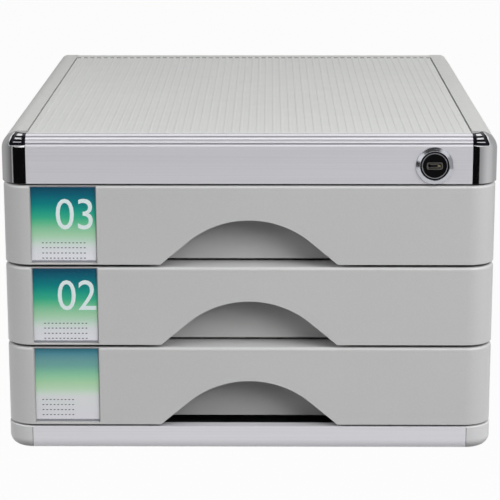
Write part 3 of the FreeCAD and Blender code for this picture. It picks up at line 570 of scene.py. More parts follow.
def rail_section(sizes, reach, share, radius=None, steps=72, inner_steps=12):
    """Closed section of the front rail as pairs of depth and height; share gives the cut at a turn."""
    low, top = rail_low.z, rail_high.z
    radius, wall = radius or sizes.edge_radius, sizes.rail_wall
    pairs = [(0.0, low)]
    for step in range(steps + 1):
        turn = 90.0 * step / steps
        out = radius - sizes.groove_depth * share(turn)
        angle = math.radians(turn)
        pairs.append((radius - out * math.cos(angle), top - radius + out * math.sin(angle)))
    pairs += [(reach, top), (reach, top - wall)]
    inner = radius - wall
    for step in range(inner_steps + 1):
        angle = math.radians(90.0 - 90.0 * step / inner_steps)
        pairs.append((radius - inner * math.cos(angle), top - radius + inner * math.sin(angle)))
    pairs.append((wall, low))
    return pairs


def paint_shade_in_grooves(piece, finish, depth, measure):
    """Give the bottoms of the grooves a darker finish: painted shade on the rail, a painted dark reflection on the
    caps; measure gives edge radius and reach at a point.
    """
    piece.data.materials.append(finish)
    for polygon in piece.data.polygons:
        radius, reach = measure(polygon.center)
        rise = polygon.center.z - rail_high.z + radius
        sunk = (radius - math.hypot(rise, reach)) / depth
        if min(rise, reach) > 0 and GROOVE_BAND[0] < sunk < GROOVE_BAND[1]:
            polygon.material_index = 1


class CABINET_OT_front_rail(bpy.types.Operator):
    """Build the grooved aluminium rail across the front, a dark strip under it that stands in for the shade in the
    gap, and the shelf behind it
    """

    bl_idname = "cabinet.front_rail"
    bl_label = "Front Rail"

    def execute(self, context):
        sizes, colours = context.scene.cabinet_sizes, context.scene.cabinet_colours
        finish = brushed_aluminium("brushed_aluminium", colours.aluminium)
        pairs = rail_section(sizes, sizes.edge_radius + RAIL_LIP, lambda turn: groove_share(sizes, turn))
        sections = [[(x, FRONT_Y + depth, height) for depth, height in pairs]
                    for x in (rail_low.x, rail_high.x)]
        hole = rod("lock_hole", LOCK_AXIS, LOCK_HOLE, FRONT_Y - OVER, FRONT_Y + 2 * OVER)
        rail = baked(loft("rail", sections), [hole], sizes.softened_edge)
        piece = add_piece("front_rail", rail, finish, "cabinet", "rail_aluminium", "top_front_rail",
                          sharp=SMALL_CREASE)
        self.finish_edge(piece, sizes, colours)
        inside = FRONT_Y + sizes.rail_wall
        # A dark strip that stands in for the shade in the gap under the rail.
        shade_strip = block("shade_strip", (rail_low.x + SHADE_STRIP_INSET, inside + FIT, rail_low.z - SHADE_STRIP_HANG),
                     (rail_high.x - SHADE_STRIP_INSET, inside + FIT + SHADE_STRIP_THICKNESS, rail_low.z + SHADE_STRIP_RISE))
        rubber = matt_rubber("rail_gap_shade_rubber", colours.rubber)
        add_piece("rail_gap_shade_strip", baked(shade_strip, (), sizes.softened_edge), rubber, "cabinet", "foot_rubber")
        shelf = block("shelf", (rail_low.x, inside, SHELF_UNDER), (rail_high.x, rail_high.y, SHELF_TOP))
        shelf = baked(shelf, (), sizes.softened_edge)
        add_piece("front_rail_shelf", shelf, finish, "cabinet", "rail_aluminium")
        return {"FINISHED"}

    def finish_edge(self, piece, sizes, colours):
        """Give the grooves and the seam at the panel darker finishes as painted shade, and the ridges between them
        a lighter one as a painted highlight.
        """
        radius = sizes.edge_radius
        middle_y, middle_z = FRONT_Y + radius, rail_high.z - radius
        # Painted shade in the grooves.
        paint_shade_in_grooves(piece, brushed_aluminium("groove_painted_shade", colours.groove), sizes.groove_depth,
                       lambda point: (radius, middle_y - point.y))
        # Painted highlight on the ridges.
        piece.data.materials.append(brushed_aluminium("ridge_painted_highlight", colours.painted_ridge_highlight, 0.1, 0.35))
        # Darker painted shade in the seam groove at the panel.
        piece.data.materials.append(brushed_aluminium("seam_painted_shade", colours.painted_dark_reflection_and_shade, 0.2, 0.6))
        plain, groove, painted_ridge_highlight, seam = range(4)
        for polygon in piece.data.polygons:
            spot = polygon.center
            turn = math.degrees(math.atan2(spot.z - middle_z, middle_y - spot.y))
            outside = polygon.normal.y < FACING_OUT and spot.y < middle_y
            if outside and polygon.material_index == plain and RIDGE_TURNS[0] < turn < RIDGE_TURNS[1]:
                polygon.material_index = painted_ridge_highlight
            if polygon.material_index == groove and turn > SEAM_TURN:
                polygon.material_index = seam


class CABINET_OT_corner_caps(bpy.types.Operator):
    """Build the two plated corner caps, whose ridges stand in recesses and end on the corner; grooves and recesses
    take a painted dark reflection
    """

    bl_idname = "cabinet.corner_caps"
    bl_label = "Corner Caps"

    def execute(self, context):
        sizes, colours = context.scene.cabinet_sizes, context.scene.cabinet_colours
        finish = bright_plating("bright_plating", colours.plating)
        # Painted dark reflection for the caps' grooves and recesses.
        dark = bright_plating("cap_painted_dark_reflection", colours.painted_dark_reflection_and_shade, 0.25)
        radius = cap_high.x - cap_low.x
        steps = 90
        for side, mirror in zip(SIDES, (1, -1)):
            sections = [self.section(sizes, mirror, radius, 90.0 * step / steps) for step in range(steps + 1)]
            cap = baked(loft("cap", sections), (), sizes.softened_edge)
            piece = add_piece("corner_cap_" + side + "_plated", cap, finish, "cabinet", "cap_chrome",
                              "corner_cap_" + side, sharp=SMALL_CREASE)
            axis = Vector((mirror * cap_low.x, cap_high.y))
            paint_shade_in_grooves(piece, dark, sizes.groove_depth,
                           lambda point: self.measure(sizes, point.xy - axis, radius))
        return {"FINISHED"}

    def section(self, sizes, mirror, radius, around):
        """Upright section of a cap, turned in degrees round the cap's axis."""
        angle = math.radians(around)
        edge = self.edge(sizes, around)
        points = []
        for depth, height in rail_section(sizes, radius - CAP_LIP,
                                          lambda turn: self.recess(sizes, turn, angle, radius, edge), edge):
            reach = radius - depth
            points.append((mirror * (cap_low.x + reach * math.sin(angle)),
                           cap_high.y - reach * math.cos(angle), height))
        return points

    def recess(self, sizes, turn, angle, radius, edge):
        """Share of the groove depth on a cap: grooves, joined across the ends of the ridges between them."""
        first, last = GROOVE_TURNS[0], GROOVE_TURNS[-1]
        along = (radius - edge * (1 - math.cos(math.radians(turn)))) * math.sin(angle)
        end = RECESS_LENGTH - RECESS_TAPER * within((turn - first) / (last - first))
        cut = groove_share(sizes, turn, CAP_WIDENING)
        if first < turn < last:
            cut = max(cut, eased((RIDGE_START - along) / RIDGE_START_SLOPE),
                      eased((along - end + RIDGE_STOP) / RIDGE_STOP_SLOPE))
        return cut * eased((end - along) / RECESS_SLOPE)

    def edge(self, sizes, turn):
        """Radius of the top edge at a turn in degrees, from the front rail's to the side rail's."""
        return sizes.edge_radius + (sizes.side_radius - sizes.edge_radius) * turn / 90.0

    def measure(self, sizes, away, radius):
        """Edge radius, and reach from the middle of the edge's round, at a place seen from the cap's axis."""
        edge = self.edge(sizes, math.degrees(math.atan2(abs(away.x), max(-away.y, 0.0))))
        return edge, away.length - radius + edge


def rear_shape(sizes, y):
    """Inset of the outer face, loss of edge radius and drop of the top of a side rail near its rear end."""
    start = side_high.y - sizes.back_corner
    tighter = REAR_TIGHTENING * eased((y - start + REAR_LENGTH) / REAR_LENGTH)
    around = within((y - start) / sizes.back_corner)
    inset = sizes.back_corner * (1 - math.sqrt(1 - around * around))
    return REAR_INSET_SHARE * tighter + inset, tighter, REAR_DROP_SHARE * inset


def side_line(sizes, y, shrink, steps=24):
    """Line of a side rail's section, moved in by shrink, from its bottom over the round edge to its top."""
    inset, tighter, drop = rear_shape(sizes, y)
    radius = sizes.side_radius - tighter
    middle_x, middle_z = side_high.x - inset - radius, side_high.z - drop - radius
    reach = radius - shrink
    pairs = [(side_high.x - inset - shrink, side_low.z)]
    for step in range(steps + 1):
        angle = math.radians(90.0 * step / steps)
        pairs.append((middle_x + reach * math.cos(angle), middle_z + reach * math.sin(angle)))
    return pairs


def side_section(sizes, y, mirror):
    """Closed section of a side rail: outer face, round edge, flat top and inner lip."""
    wall, lip = sizes.rail_wall, SHELF_UNDER
    line, inside = side_line(sizes, y, 0.0), side_line(sizes, y, wall)
    pairs = line + [(LIP_X, line[-1][1]), (LIP_X, lip), (LIP_X + wall, lip), (LIP_X + wall, inside[-1][1])]
    return [(mirror * x, y, z) for x, z in pairs + inside[::-1]]


def plug_section(sizes, y, mirror):
    """Closed section of the plug that fills the rear end of a side rail."""
    line = side_line(sizes, y, sizes.rail_wall / 2)
    inner, low = LIP_X + FIT, side_low.z + FIT
    pairs = [(line[0][0], low)] + line[1:] + [(inner, line[-1][1]), (inner, low)]
    return [(mirror * x, y, z) for x, z in pairs]


class CABINET_OT_top_frame(bpy.types.Operator):
    """Build the side rails of the top frame with their end plugs and shelves, and finish its back rail"""

    bl_idname = "cabinet.top_frame"
    bl_label = "Top Frame"

    def execute(self, context):
        sizes = context.scene.cabinet_sizes
        finish = moulded_plastic("frame_plastic", context.scene.cabinet_colours.frame, 0.42)
        refinish(finish, "top_back_rail")
        rear = side_high.y - REAR_PLAY
        steps = 8
        stations = [side_low.y] + [rear - sizes.back_corner - REAR_LENGTH * (1 - step / steps)
                                   for step in range(steps + 1)]
        stations += [rear - sizes.back_corner * (1 - math.sin(math.radians(90.0 * step / steps)))
                     for step in range(1, steps + 1)]
        for side, mirror in zip(SIDES, (1, -1)):
            rail = loft("side_rail", [side_section(sizes, y, mirror) for y in stations])
            plug = loft("plug", [plug_section(sizes, rear - back, mirror) for back in PLUG_BACKS])
            low_x, high_x = sorted((mirror * side_low.x, mirror * (cap_low.x + SHELF_LAP)))
            shelf = block("shelf", (low_x, side_low.y, SHELF_UNDER + FIT),
                          (high_x, panel_high.y - SHELF_BACK, SHELF_TOP))
            rail, plug, shelf = [baked(mesh, (), sizes.softened_edge) for mesh in (rail, plug, shelf)]
            add_piece("side_rail_" + side, rail, finish, "cabinet", "frame_silver", "top_side_rail_" + side,
                      sharp=SMALL_CREASE)
            add_piece("side_rail_end_" + side, plug, finish, "cabinet", "frame_silver")
            add_piece("side_rail_shelf_" + side, shelf, finish, "cabinet", "frame_silver")
        return {"FINISHED"}


class CABINET_OT_ribbed_panel(bpy.types.Operator):
    """Build the ribbed panel in the top frame and the dark strip behind it that stands in for the shade in the gap
    """

    bl_idname = "cabinet.ribbed_panel"
    bl_label = "Ribbed Panel"

    def execute(self, context):
        sizes, colours = context.scene.cabinet_sizes, context.scene.cabinet_colours
        finish = moulded_plastic("panel_plastic", colours.panel, 0.45)
        half, front, back = panel_high.x, panel_low.y + PLATE_FRONT, panel_high.y - PLATE_BACK
        level = panel_high.z - FIT
        plate = block("plate", (-half, front, SHELF_TOP + FIT), (half, back, level))
        add_piece("ribbed_plate", baked(plate, (), sizes.softened_edge), finish, "cabinet", "frame_silver",
                  "top_panel")
        points, faces = [], []
        count = int((half - RIB_MARGIN) // sizes.rib_pitch)
        for index in range(-count, count + 1):
            self.rib(sizes, points, faces, index * sizes.rib_pitch, front, level)
        add_piece("panel_ribs", mesh_from("ribs", points, faces), finish, "cabinet", "frame_silver", sharp=40)
        # A dark strip that stands in for the shade in the gap behind the panel.
        shade_strip = block("shade_strip", (-half, back + FIT, level - FIT - PANEL_SHADE_STRIP_HEIGHT),
                     (half, panel_high.y, level - FIT))
        rubber = matt_rubber("panel_gap_shade_rubber", colours.rubber)
        add_piece("panel_gap_shade_strip", baked(shade_strip, (), sizes.softened_edge), rubber, "cabinet", "foot_rubber")
        return {"FINISHED"}

    def rib(self, sizes, points, faces, middle, front, level, steps=8):
        """Add one low round rib with a sloped front end; it runs on to the back rail."""
        half, root = sizes.rib_width / 2, level - RIB_ROOT
        stations = ((front + RIB_ENDS[0], 0.0), (front + RIB_ENDS[1], 1.0), (panel_high.y, 1.0))
        start = len(points)
        for y, rise in stations:
            points.append((middle + half, y, root))
            for step in range(steps + 1):
                angle = math.pi * step / steps
                height = rise * sizes.rib_height * math.sin(angle) ** RIB_FULLNESS
                points.append((middle + half * math.cos(angle), y, level - RIB_SINK + height))
            points.append((middle - half, y, root))
        ring = steps + 3
        for row in range(len(stations) - 1):
            for step in range(ring):
                after = (step + 1) % ring
                first = start + row * ring
                faces.append((first + step, first + after, first + ring + after, first + ring + step))
        for row in (0, len(stations) - 1):
            faces.append(tuple(start + row * ring + step for step in range(ring)))


# ---------------------------------------------------------------- drawers

ARCH_FOOT = -0.004  # height to which the slopes of the finger arch run down, below the front
CHAMBER_LAP = 1e-5  # how far the two cutters of a front's chamber overlap
DECK_MARGIN = 0.0003  # flat rim between a front's rounded edge and its sunk deck


def plan_outline(half, front, back, radius, z, steps=16):
    """Outline across the cabinet whose two front corners are rounded."""
    turns = [math.radians(90.0 * step / steps) for step in range(steps + 1)]
    middle_x, middle_y = half - radius, front + radius
    left = [(-middle_x - radius * math.cos(turn), middle_y - radius * math.sin(turn), z) for turn in turns]
    right = [(middle_x + radius * math.sin(turn), middle_y - radius * math.cos(turn), z) for turn in turns]
    return [(-half, back, z)] + left + right + [(half, back, z)]


def arch_outline(sizes, y, steps=64):
    """Outline of the finger arch, which runs out into two straight slopes."""
    turn, radius = sizes.arch_turn, sizes.arch_radius
    centre = sizes.arch_height - radius
    foot = radius * math.sin(turn) + (centre + radius * math.cos(turn) - ARCH_FOOT) / math.tan(turn)
    points = [(-foot, y, ARCH_FOOT)]
    for step in range(steps + 1):
        angle = turn * (2 * step / steps - 1)
        points.append((radius * math.sin(angle), y, centre + radius * math.cos(angle)))
    points.append((foot, y, ARCH_FOOT))
    return points


def front_mesh(sizes, low_edge, edge_steps=6):
    """Moulded drawer front with chambers, finger arch and label recess; its frame node stands at height zero."""
    half, front, back, radius = front_high.x, front_low.y, front_high.y, sizes.front_radius
    top = front_high.z - front_low.z - sizes.over_gap
    edge, wall, ledge, gap = sizes.front_edge, sizes.front_wall, sizes.ledge_wall, sizes.label_gap
    sections = [plan_outline(half, front, back, radius, low_edge)]
    for step in range(edge_steps + 1):
        angle = math.radians(90.0 * step / edge_steps)
        inset = edge * (1 - math.cos(angle))
        sections.append(plan_outline(half - inset, front + inset, back, radius - inset,
                                     top - edge + edge * math.sin(angle)))
    under = top - ledge
    chamber = loft("chamber", [plan_outline(half - wall, front + wall, backplate_y, radius - wall, z)
                               for z in (-OVER, under)])
    for side in (-1, 1):
        low_x, high_x = sorted((side * sizes.pocket_half, side * (sizes.pocket_half + ledge)))
        chamber = baked(chamber, [block("rib", (low_x, front, -2 * OVER), (high_x, back, top))])
    seat = block("seat", (wall - half, backplate_y - CHAMBER_LAP, -OVER), (half - wall, back + OVER, under))
    arch = loft("arch", [arch_outline(sizes, y) for y in (front - OVER, front + wall + OVER)])
    recess = block("recess", (cover_low.x - gap, front - OVER, cover_low.z - front_low.z - gap),
                   (cover_high.x + gap, front + sizes.label_recess, cover_high.z - front_low.z + gap))
    rim = edge + DECK_MARGIN
    deck = loft("deck", [plan_outline(half - rim, front + rim, back + OVER, radius - rim, z)
                         for z in (top - sizes.deck_drop, top + OVER)])
    return baked(loft("front", sections), [chamber, seat, arch, recess, deck], sizes.softened_edge, angle=40)


class CABINET_OT_drawer_fronts(bpy.types.Operator):
    """Build the three moulded drawer fronts and finish the walls behind their finger pockets"""

    bl_idname = "cabinet.drawer_fronts"
    bl_label = "Drawer Fronts"

    def execute(self, context):
        sizes, colours = context.scene.cabinet_sizes, context.scene.cabinet_colours
        finish = metallic_lacquer("silver_lacquer", colours.drawer)
        for drawer in DRAWERS:
            mesh = front_mesh(sizes, 0.0 if drawer == DRAWERS[0] else sizes.under_gap)
            piece = add_piece(drawer + "_fascia", mesh, finish, drawer, "drawer_silver", drawer + "_front")
            piece.location.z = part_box(drawer + "_front")[0].z
        refinish(moulded_plastic("pocket_plastic", colours.backplate, 0.55), *of_drawers("_backplate"))
        return {"FINISHED"}


# ---------------------------------------------------------------- labels

EDGE_SHADE = (128, 130, 138)  # bottom edge of a card
UPPER_SHADE = ((0.0, EDGE_SHADE), (0.02, EDGE_SHADE), (0.03, (222, 222, 228)), (0.18, (216, 219, 222)),
               (0.24, (204, 219, 211)), (0.31, (178, 211, 188)), (0.37, (160, 206, 170)), (0.45, (134, 196, 157)),
               (0.515, (100, 187, 143)), (0.59, (55, 170, 134)), (0.68, (28, 150, 131)), (0.78, (0, 122, 124)),
               (0.89, (0, 94, 113)), (1.0, (4, 62, 88)))
LOWER_SHADE = ((0.0, EDGE_SHADE), (0.02, EDGE_SHADE), (0.03, (220, 219, 225)), (0.33, (217, 220, 221)),
               (0.38, (208, 222, 212)), (0.45, (186, 217, 187)), (0.53, (171, 211, 171)), (0.605, (149, 205, 166)),
               (0.68, (129, 190, 160)), (0.76, (112, 168, 158)), (0.86, (101, 152, 156)), (0.93, (79, 139, 151)),
               (1.0, (42, 101, 121)))
LABEL_TEXTS = dict(zip(DRAWERS, ("", "02", "03")))
# A card's writing lines: shares of its height, and from where to where across its width.
NUMBERED_LINES = ((0.047, 0.116, 0.187, 0.253), (0.16, 0.88))
PLAIN_LINES = ((0.08, 0.15, 0.22, 0.29), (0.1, 0.64))
FIGURE_PLACE = (0.385, 0.437)  # lower left corner of the figures, as shares of the card
FIGURE_NARROWING = 0.92
INK = 0.00004
DASH, DASH_GAP, DASH_HEIGHT = 0.0011, 0.0012, 0.00055


def card_mesh(low, high):
    """Card with a map on its front face that runs from corner to corner."""
    mesh = block("card", low, high)
    layer = mesh.uv_layers.new(name="print")
    width, height = high[0] - low[0], high[2] - low[2]
    for loop in mesh.loops:
        point = mesh.vertices[loop.vertex_index].co
        layer.data[loop.index].uv = ((point.x - low[0]) / width, (point.z - low[2]) / height)
    return mesh


def figure_mesh(text, height, left, low, middle_y):
    """Figures as a thin layer of ink whose lower left corner is given."""
    curve = bpy.data.curves.new("figures", "FONT")
    curve.body = text
    curve.size = 1.0
    curve.extrude = 0.5
    curve.resolution_u = 4
    holder = bpy.data.objects.new("figures", curve)
    bpy.context.scene.collection.objects.link(holder)
    graph = bpy.context.evaluated_depsgraph_get()
    mesh = bpy.data.meshes.new_from_object(holder.evaluated_get(graph))
    bpy.data.objects.remove(holder)
    bpy.data.curves.remove(curve)
    points = [vertex.co for vertex in mesh.vertices]
    low_x, low_y = min(point.x for point in points), min(point.y for point in points)
    scale = height / (max(point.y for point in points) - low_y)
    for vertex in mesh.vertices:
        x, y, z = vertex.co
        vertex.co = (left + (x - low_x) * scale * FIGURE_NARROWING, middle_y - z * INK,
                     low + (y - low_y) * scale)
    mesh.update()
    return mesh


def dotted_lines(left, right, heights, front):
    """Rows of short dashes as a thin layer of ink."""
    points, faces = [], []
    for low in heights:
        x, high = left, low + DASH_HEIGHT
        while x + DASH <= right:
            start = len(points)
            for y in (front, front + INK):
                points += [(x, y, low), (x + DASH, y, low), (x + DASH, y, high), (x, y, high)]
            for quad in ((0, 1, 2, 3), (7, 6, 5, 4), (0, 4, 5, 1), (1, 5, 6, 2), (2, 6, 7, 3), (3, 7, 4, 0)):
                faces.append(tuple(start + corner for corner in quad))
            x += DASH + DASH_GAP
    return mesh_from("dots", points, faces)


class CABINET_OT_labels(bpy.types.Operator):
    """Build the printed cards and the clear covers over them"""

    bl_idname = "cabinet.labels"
    bl_label = "Labels"

    def execute(self, context):
        sizes, colours = context.scene.cabinet_sizes, context.scene.cabinet_colours
        upper = printed_card("card_teal", UPPER_SHADE)
        lower = printed_card("card_blue_green", LOWER_SHADE)
        cover_finish = clear_cover("clear_cover")
        figure = printed_ink("figure_ink", colours.figure)
        line = printed_ink("line_ink", colours.line)
        for drawer, text in LABEL_TEXTS.items():
            low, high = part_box(drawer + "_label_card")
            low = Vector((low.x, low.y, low.z - sizes.card_drop))
            front, width, height = low.y + FIT, high.x - low.x, high.z - low.z
            card = card_mesh((low.x, front, low.z), (high.x, high.y, high.z))
            add_piece(drawer + "_card", card, upper if text else lower, drawer, "card_paper",
                      drawer + "_label_card")
            if text:
                figures = figure_mesh(text, sizes.figure_height, low.x + FIGURE_PLACE[0] * width,
                                      low.z + FIGURE_PLACE[1] * height, front - INK / 2)
                add_piece(drawer + "_figures", figures, figure, drawer, "card_paper")
            rows, across = NUMBERED_LINES if text else PLAIN_LINES
            left, right = [low.x + share * width for share in across]
            dots = dotted_lines(left, right, [low.z + share * height for share in rows], front - INK)
            add_piece(drawer + "_writing_lines", dots, line, drawer, "card_paper")
            self.cover(drawer, low, high, cover_finish, sizes)
        return {"FINISHED"}

    def cover(self, drawer, card_low, card_high, finish, sizes):
        """Clear cover with a pocket behind for the card."""
        low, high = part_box(drawer + "_label_cover")
        pocket = block("pocket", card_low, (card_high.x, high.y + OVER, card_high.z))
        mesh = baked(block("slab", low, high), [pocket], sizes.softened_edge)
        add_piece(drawer + "_clear_cover", mesh, finish, drawer, "cover_clear", drawer + "_label_cover")


# ---------------------------------------------------------------- lock

RING_BORE, RING_INNER, RING_BARREL = 0.0087, 0.00785, 0.0094  # radii
RING_FLOOR = 0.0016  # depth of the black floor between ring and plug
BORE_ROUND = ((0.0, 0.0003), (0.0001, 0.0001), (0.0003, 0.0))  # outward and inward steps over the bore's edge
RING_FLANK, RING_EDGE = math.radians(25.0), 0.0003
BLACK_REACH, BLACK_DEPTH = 0.00003, 0.0002  # faces this near the bore and deeper behind the front are black
# Half width, half height and corner radius of the keyway's frame and of its opening.
KEYWAY_FRAME, KEYWAY_HOLE = (0.0048, 0.0022, 0.0012), (0.0041, 0.0016, 0.0009)
KEYWAY_RISE, KEYWAY_EDGE = 0.00022, 0.00008
LEAF_HALF_HEIGHT, LEAF_CORNER, LEAF_FRONT, LEAF_BACK, LEAF_EDGE = 0.00042, 0.0002, 0.0002, 0.0016, 0.00015


class CABINET_OT_lock(bpy.types.Operator):
    """Build the lock: satin flange with a dark groove, black face and the keyway; finish its plug"""

    bl_idname = "cabinet.lock"
    bl_label = "Lock"

    def execute(self, context):
        colours = context.scene.cabinet_colours
        plating = satin_plating("flange_plating", colours.flange, 0.92, 0.15)
        black = moulded_plastic("lock_black", colours.black, 0.3, 0.1, specular=0.12)
        refinish(satin_plating("plug_zinc", colours.flange, 0.7, 0.2), "lock_plug")
        refinish(black, "lock_face_disc")
        self.flange(plating, black)
        self.keyway(colours)
        return {"FINISHED"}

    def flange(self, plating, black, steps=4):
        """Flange and barrel, whose inner groove is black."""
        front, back, outer = ring_low.y, ring_high.y, (ring_high.x - ring_low.x) / 2
        profile = [(RING_INNER, front + RING_FLOOR), (RING_BORE, front + RING_FLOOR)]
        profile += [(RING_BORE + out, front + depth) for out, depth in BORE_ROUND]
        start = profile[-1][0]
        stop = outer - RING_EDGE * math.cos(RING_FLANK)
        sink = (stop - start) * math.tan(RING_FLANK)
        for step in range(1, steps + 1):
            profile.append((start + (stop - start) * step / steps, front + sink * step / steps))
        for step in range(1, steps + 1):
            angle = RING_FLANK + (math.radians(90.0) - RING_FLANK) * step / steps
            profile.append((outer - RING_EDGE * (1 - math.sin(angle)),
                            front + sink + RING_EDGE * (math.cos(RING_FLANK) - math.cos(angle))))
        profile += [(outer, FRONT_Y), (RING_BARREL, FRONT_Y), (RING_BARREL, back), (RING_INNER, back)]
        ring = add_piece("lock_ring", lathe("ring", profile, LOCK_AXIS), plating, "cabinet", "cap_chrome",
                         "lock_housing", sharp=40)
        ring.data.materials.append(black)
        for polygon in ring.data.polygons:
            away = math.hypot(polygon.center.x - LOCK_AXIS.x, polygon.center.z - LOCK_AXIS.z)
            if away < RING_BORE + BLACK_REACH and polygon.center.y > front + BLACK_DEPTH:
                polygon.material_index = 1

    def keyway(self, colours):
        """Raised frame round the keyway, with the leaves of its shutter inside."""
        steel = satin_plating("keyway_steel", colours.keyway, 0.8, 0.3)
        brass = plated_steel("shutter_brass", colours.brass)
        outer = oblong("frame", LOCK_AXIS, *KEYWAY_FRAME, key_face_y - KEYWAY_RISE, key_face_y + FIT)
        hole = oblong("hole", LOCK_AXIS, *KEYWAY_HOLE, key_face_y - OVER, key_face_y + OVER)
        add_piece("keyway_frame", baked(outer, [hole], KEYWAY_EDGE), steel, "lock_rotor", "lock_zinc")
        # Each leaf: name, place across and up from the axis, half width, finish.
        leaves = (("upper_leaf", -0.0002, 0.00105, 0.0026, steel),
                  ("lower_leaf", 0.0, -0.00115, 0.0026, steel),
                  ("side_leaf", 0.0026, 0.0001, 0.0009, brass))
        for name, across, rise, half_x, finish in leaves:
            leaf = oblong(name, LOCK_AXIS + Vector((across, 0, rise)), half_x, LEAF_HALF_HEIGHT, LEAF_CORNER,
                          key_face_y + LEAF_FRONT, key_face_y + LEAF_BACK)
            add_piece("shutter_" + name, baked(leaf, (), LEAF_EDGE), finish, "lock_rotor", "lock_zinc")


# ---------------------------------------------------------------- base, carcass and inside

SEAM_HALF_WIDTH, SEAM_PROUD, SEAM_EDGE = 0.00012, 0.00005, 0.00001  # of the dark strips in the base's front joints, which stand in for the shade there
SEAM_FOOT, SEAM_HEAD = 0.0027, 0.0006  # how far a seam stays off the strip's lower and upper edge


class CABINET_OT_base(bpy.types.Operator):
    """Finish the base, its corners in a lighter copy of the base plastic as painted light, and build dark strips
    as painted shade in the joints between its aluminium strip and its corners
    """

    bl_idname = "cabinet.base"
    bl_label = "Base"

    def execute(self, context):
        colours = context.scene.cabinet_colours
        refinish(brushed_aluminium("strip_aluminium", colours.aluminium), "base_front_strip")
        refinish(moulded_plastic("base_plastic", colours.base, 0.42),
                 "base_side_rail_right", "base_side_rail_left", "base_back_rail")
        # The corners' lighter plastic is painted light.
        refinish(moulded_plastic("corner_painted_light_plastic", colours.corner, 0.42),
                 "base_corner_right", "base_corner_left")
        refinish(moulded_plastic("plate_plastic", colours.inner, 0.55), "base_plate", "base_spacers")
        low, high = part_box("base_front_strip")
        # Dark strips that stand in for the shade in the joints.
        seam = moulded_plastic("base_joint_painted_shade", colours.painted_dark_reflection_and_shade, 0.6)
        for side, x in zip(SIDES, (high.x, low.x)):
            line = block("seam", (x - SEAM_HALF_WIDTH, low.y - SEAM_PROUD, low.z + SEAM_FOOT),
                         (x + SEAM_HALF_WIDTH, low.y, high.z - SEAM_HEAD))
            add_piece("base_joint_shade_" + side, baked(line, (), SEAM_EDGE), seam, "cabinet", "base_silver")
        return {"FINISHED"}


class CABINET_OT_carcass(bpy.types.Operator):
    """Finish the side panels and the back panel"""

    bl_idname = "cabinet.carcass"
    bl_label = "Side and Back Panels"

    def execute(self, context):
        colours = context.scene.cabinet_colours
        refinish(moulded_plastic("side_plastic", colours.base, 0.45), "side_panel_right", "side_panel_left")
        refinish(moulded_plastic("back_plastic", colours.back, 0.55), "back_panel")
        return {"FINISHED"}


class CABINET_OT_trays(bpy.types.Operator):
    """Finish the trays with their slides, and the runners"""

    bl_idname = "cabinet.trays"
    bl_label = "Trays and Runners"

    def execute(self, context):
        colours = context.scene.cabinet_colours
        refinish(moulded_plastic("tray_plastic", colours.tray), *of_drawers("_tray"))
        inner = moulded_plastic("runner_plastic", colours.inner)
        refinish(inner, *of_drawers("_slides"))
        for level in ("bottom", "middle", "top"):
            refinish(inner, level + "_runner_right", level + "_runner_left")
        return {"FINISHED"}


class CABINET_OT_metal_parts(bpy.types.Operator):
    """Finish the screws, the drawers' catches, the lock bar with its arms and guides, the cam and the nut"""

    bl_idname = "cabinet.metal_parts"
    bl_label = "Metal Parts"

    def execute(self, context):
        steel = plated_steel("plated_steel", context.scene.cabinet_colours.steel)
        refinish(steel, "cabinet_screws", "lock_nut", "lock_cam", "cam_screw", "lock_bar", "lock_bar_arms",
                 "bar_guides", *of_drawers("_screws"), *of_drawers("_catch"))
        return {"FINISHED"}


class CABINET_OT_feet(bpy.types.Operator):
    """Finish the rubber foot pads"""

    bl_idname = "cabinet.feet"
    bl_label = "Feet"

    def execute(self, context):
        refinish(matt_rubber("foot_rubber", context.scene.cabinet_colours.rubber), "foot_pads")
        return {"FINISHED"}


# ---------------------------------------------------------------- stage

WHITE = (1, 1, 1, 1)
DARK = 0.004
DARK_SHADES = ((0.0, DARK), (1.0, DARK))
GREY_SHADES = ((0.0, 0.33), (0.037, 0.40), (0.087, 0.54), (0.14, 0.65), (0.198, 0.62), (0.264, 0.47),
               (0.326, 0.44), (0.553, 0.42), (0.808, 0.40), (0.849, 0.38), (0.915, 0.275), (0.969, 0.135),
               (0.977, 0.16), (0.984, 0.40), (1.0, 0.40))
RIGHT_SHADES = ((0.0, 1.05), (1.0, 1.05))
LEFT_SHADES = ((0.0, 0.3), (0.3, 0.45), (0.6, 1.2), (1.0, 1.2))
SCREEN_RADIUS, GLOW_RADIUS = 0.62, 0.6
LAMP_TARGET = (0.0, 0.0, 0.1)
FLOOR_REACH = 6.0

CAMERA_PLACE = (0.012702, -1.342507, 0.409852)
CAMERA_DOWN, CAMERA_TURN, CAMERA_ROLL = 0.236825, 0.010104, -0.001295  # angles
CAMERA_LENS, CAMERA_SENSOR = 143.0043, 36.0  # millimetres
CAMERA_SHIFT = (-0.001, 0.0012)
CAMERA_CLIP = (0.05, 50.0)


def lifted_to_white(tree, shader, share):
    """Shader mixed with plain white for what the camera, gloss and clear pieces see."""
    path = add_node(tree, "ShaderNodeLightPath").outputs
    seen = path["Is Camera Ray"]
    for other in ("Is Glossy Ray", "Is Transmission Ray"):
        either = add_node(tree, "ShaderNodeMath", {0: seen, 1: path[other]}, operation="MAXIMUM")
        seen = either.outputs["Value"]
    part = add_node(tree, "ShaderNodeMath", {0: seen, 1: share}, operation="MULTIPLY")
    white = add_node(tree, "ShaderNodeEmission", {"Color": WHITE, "Strength": 1.0})
    mixed = add_node(tree, "ShaderNodeMixShader", {0: part.outputs["Value"], 1: shader,
                                                   2: white.outputs["Emission"]})
    return mixed.outputs["Shader"]


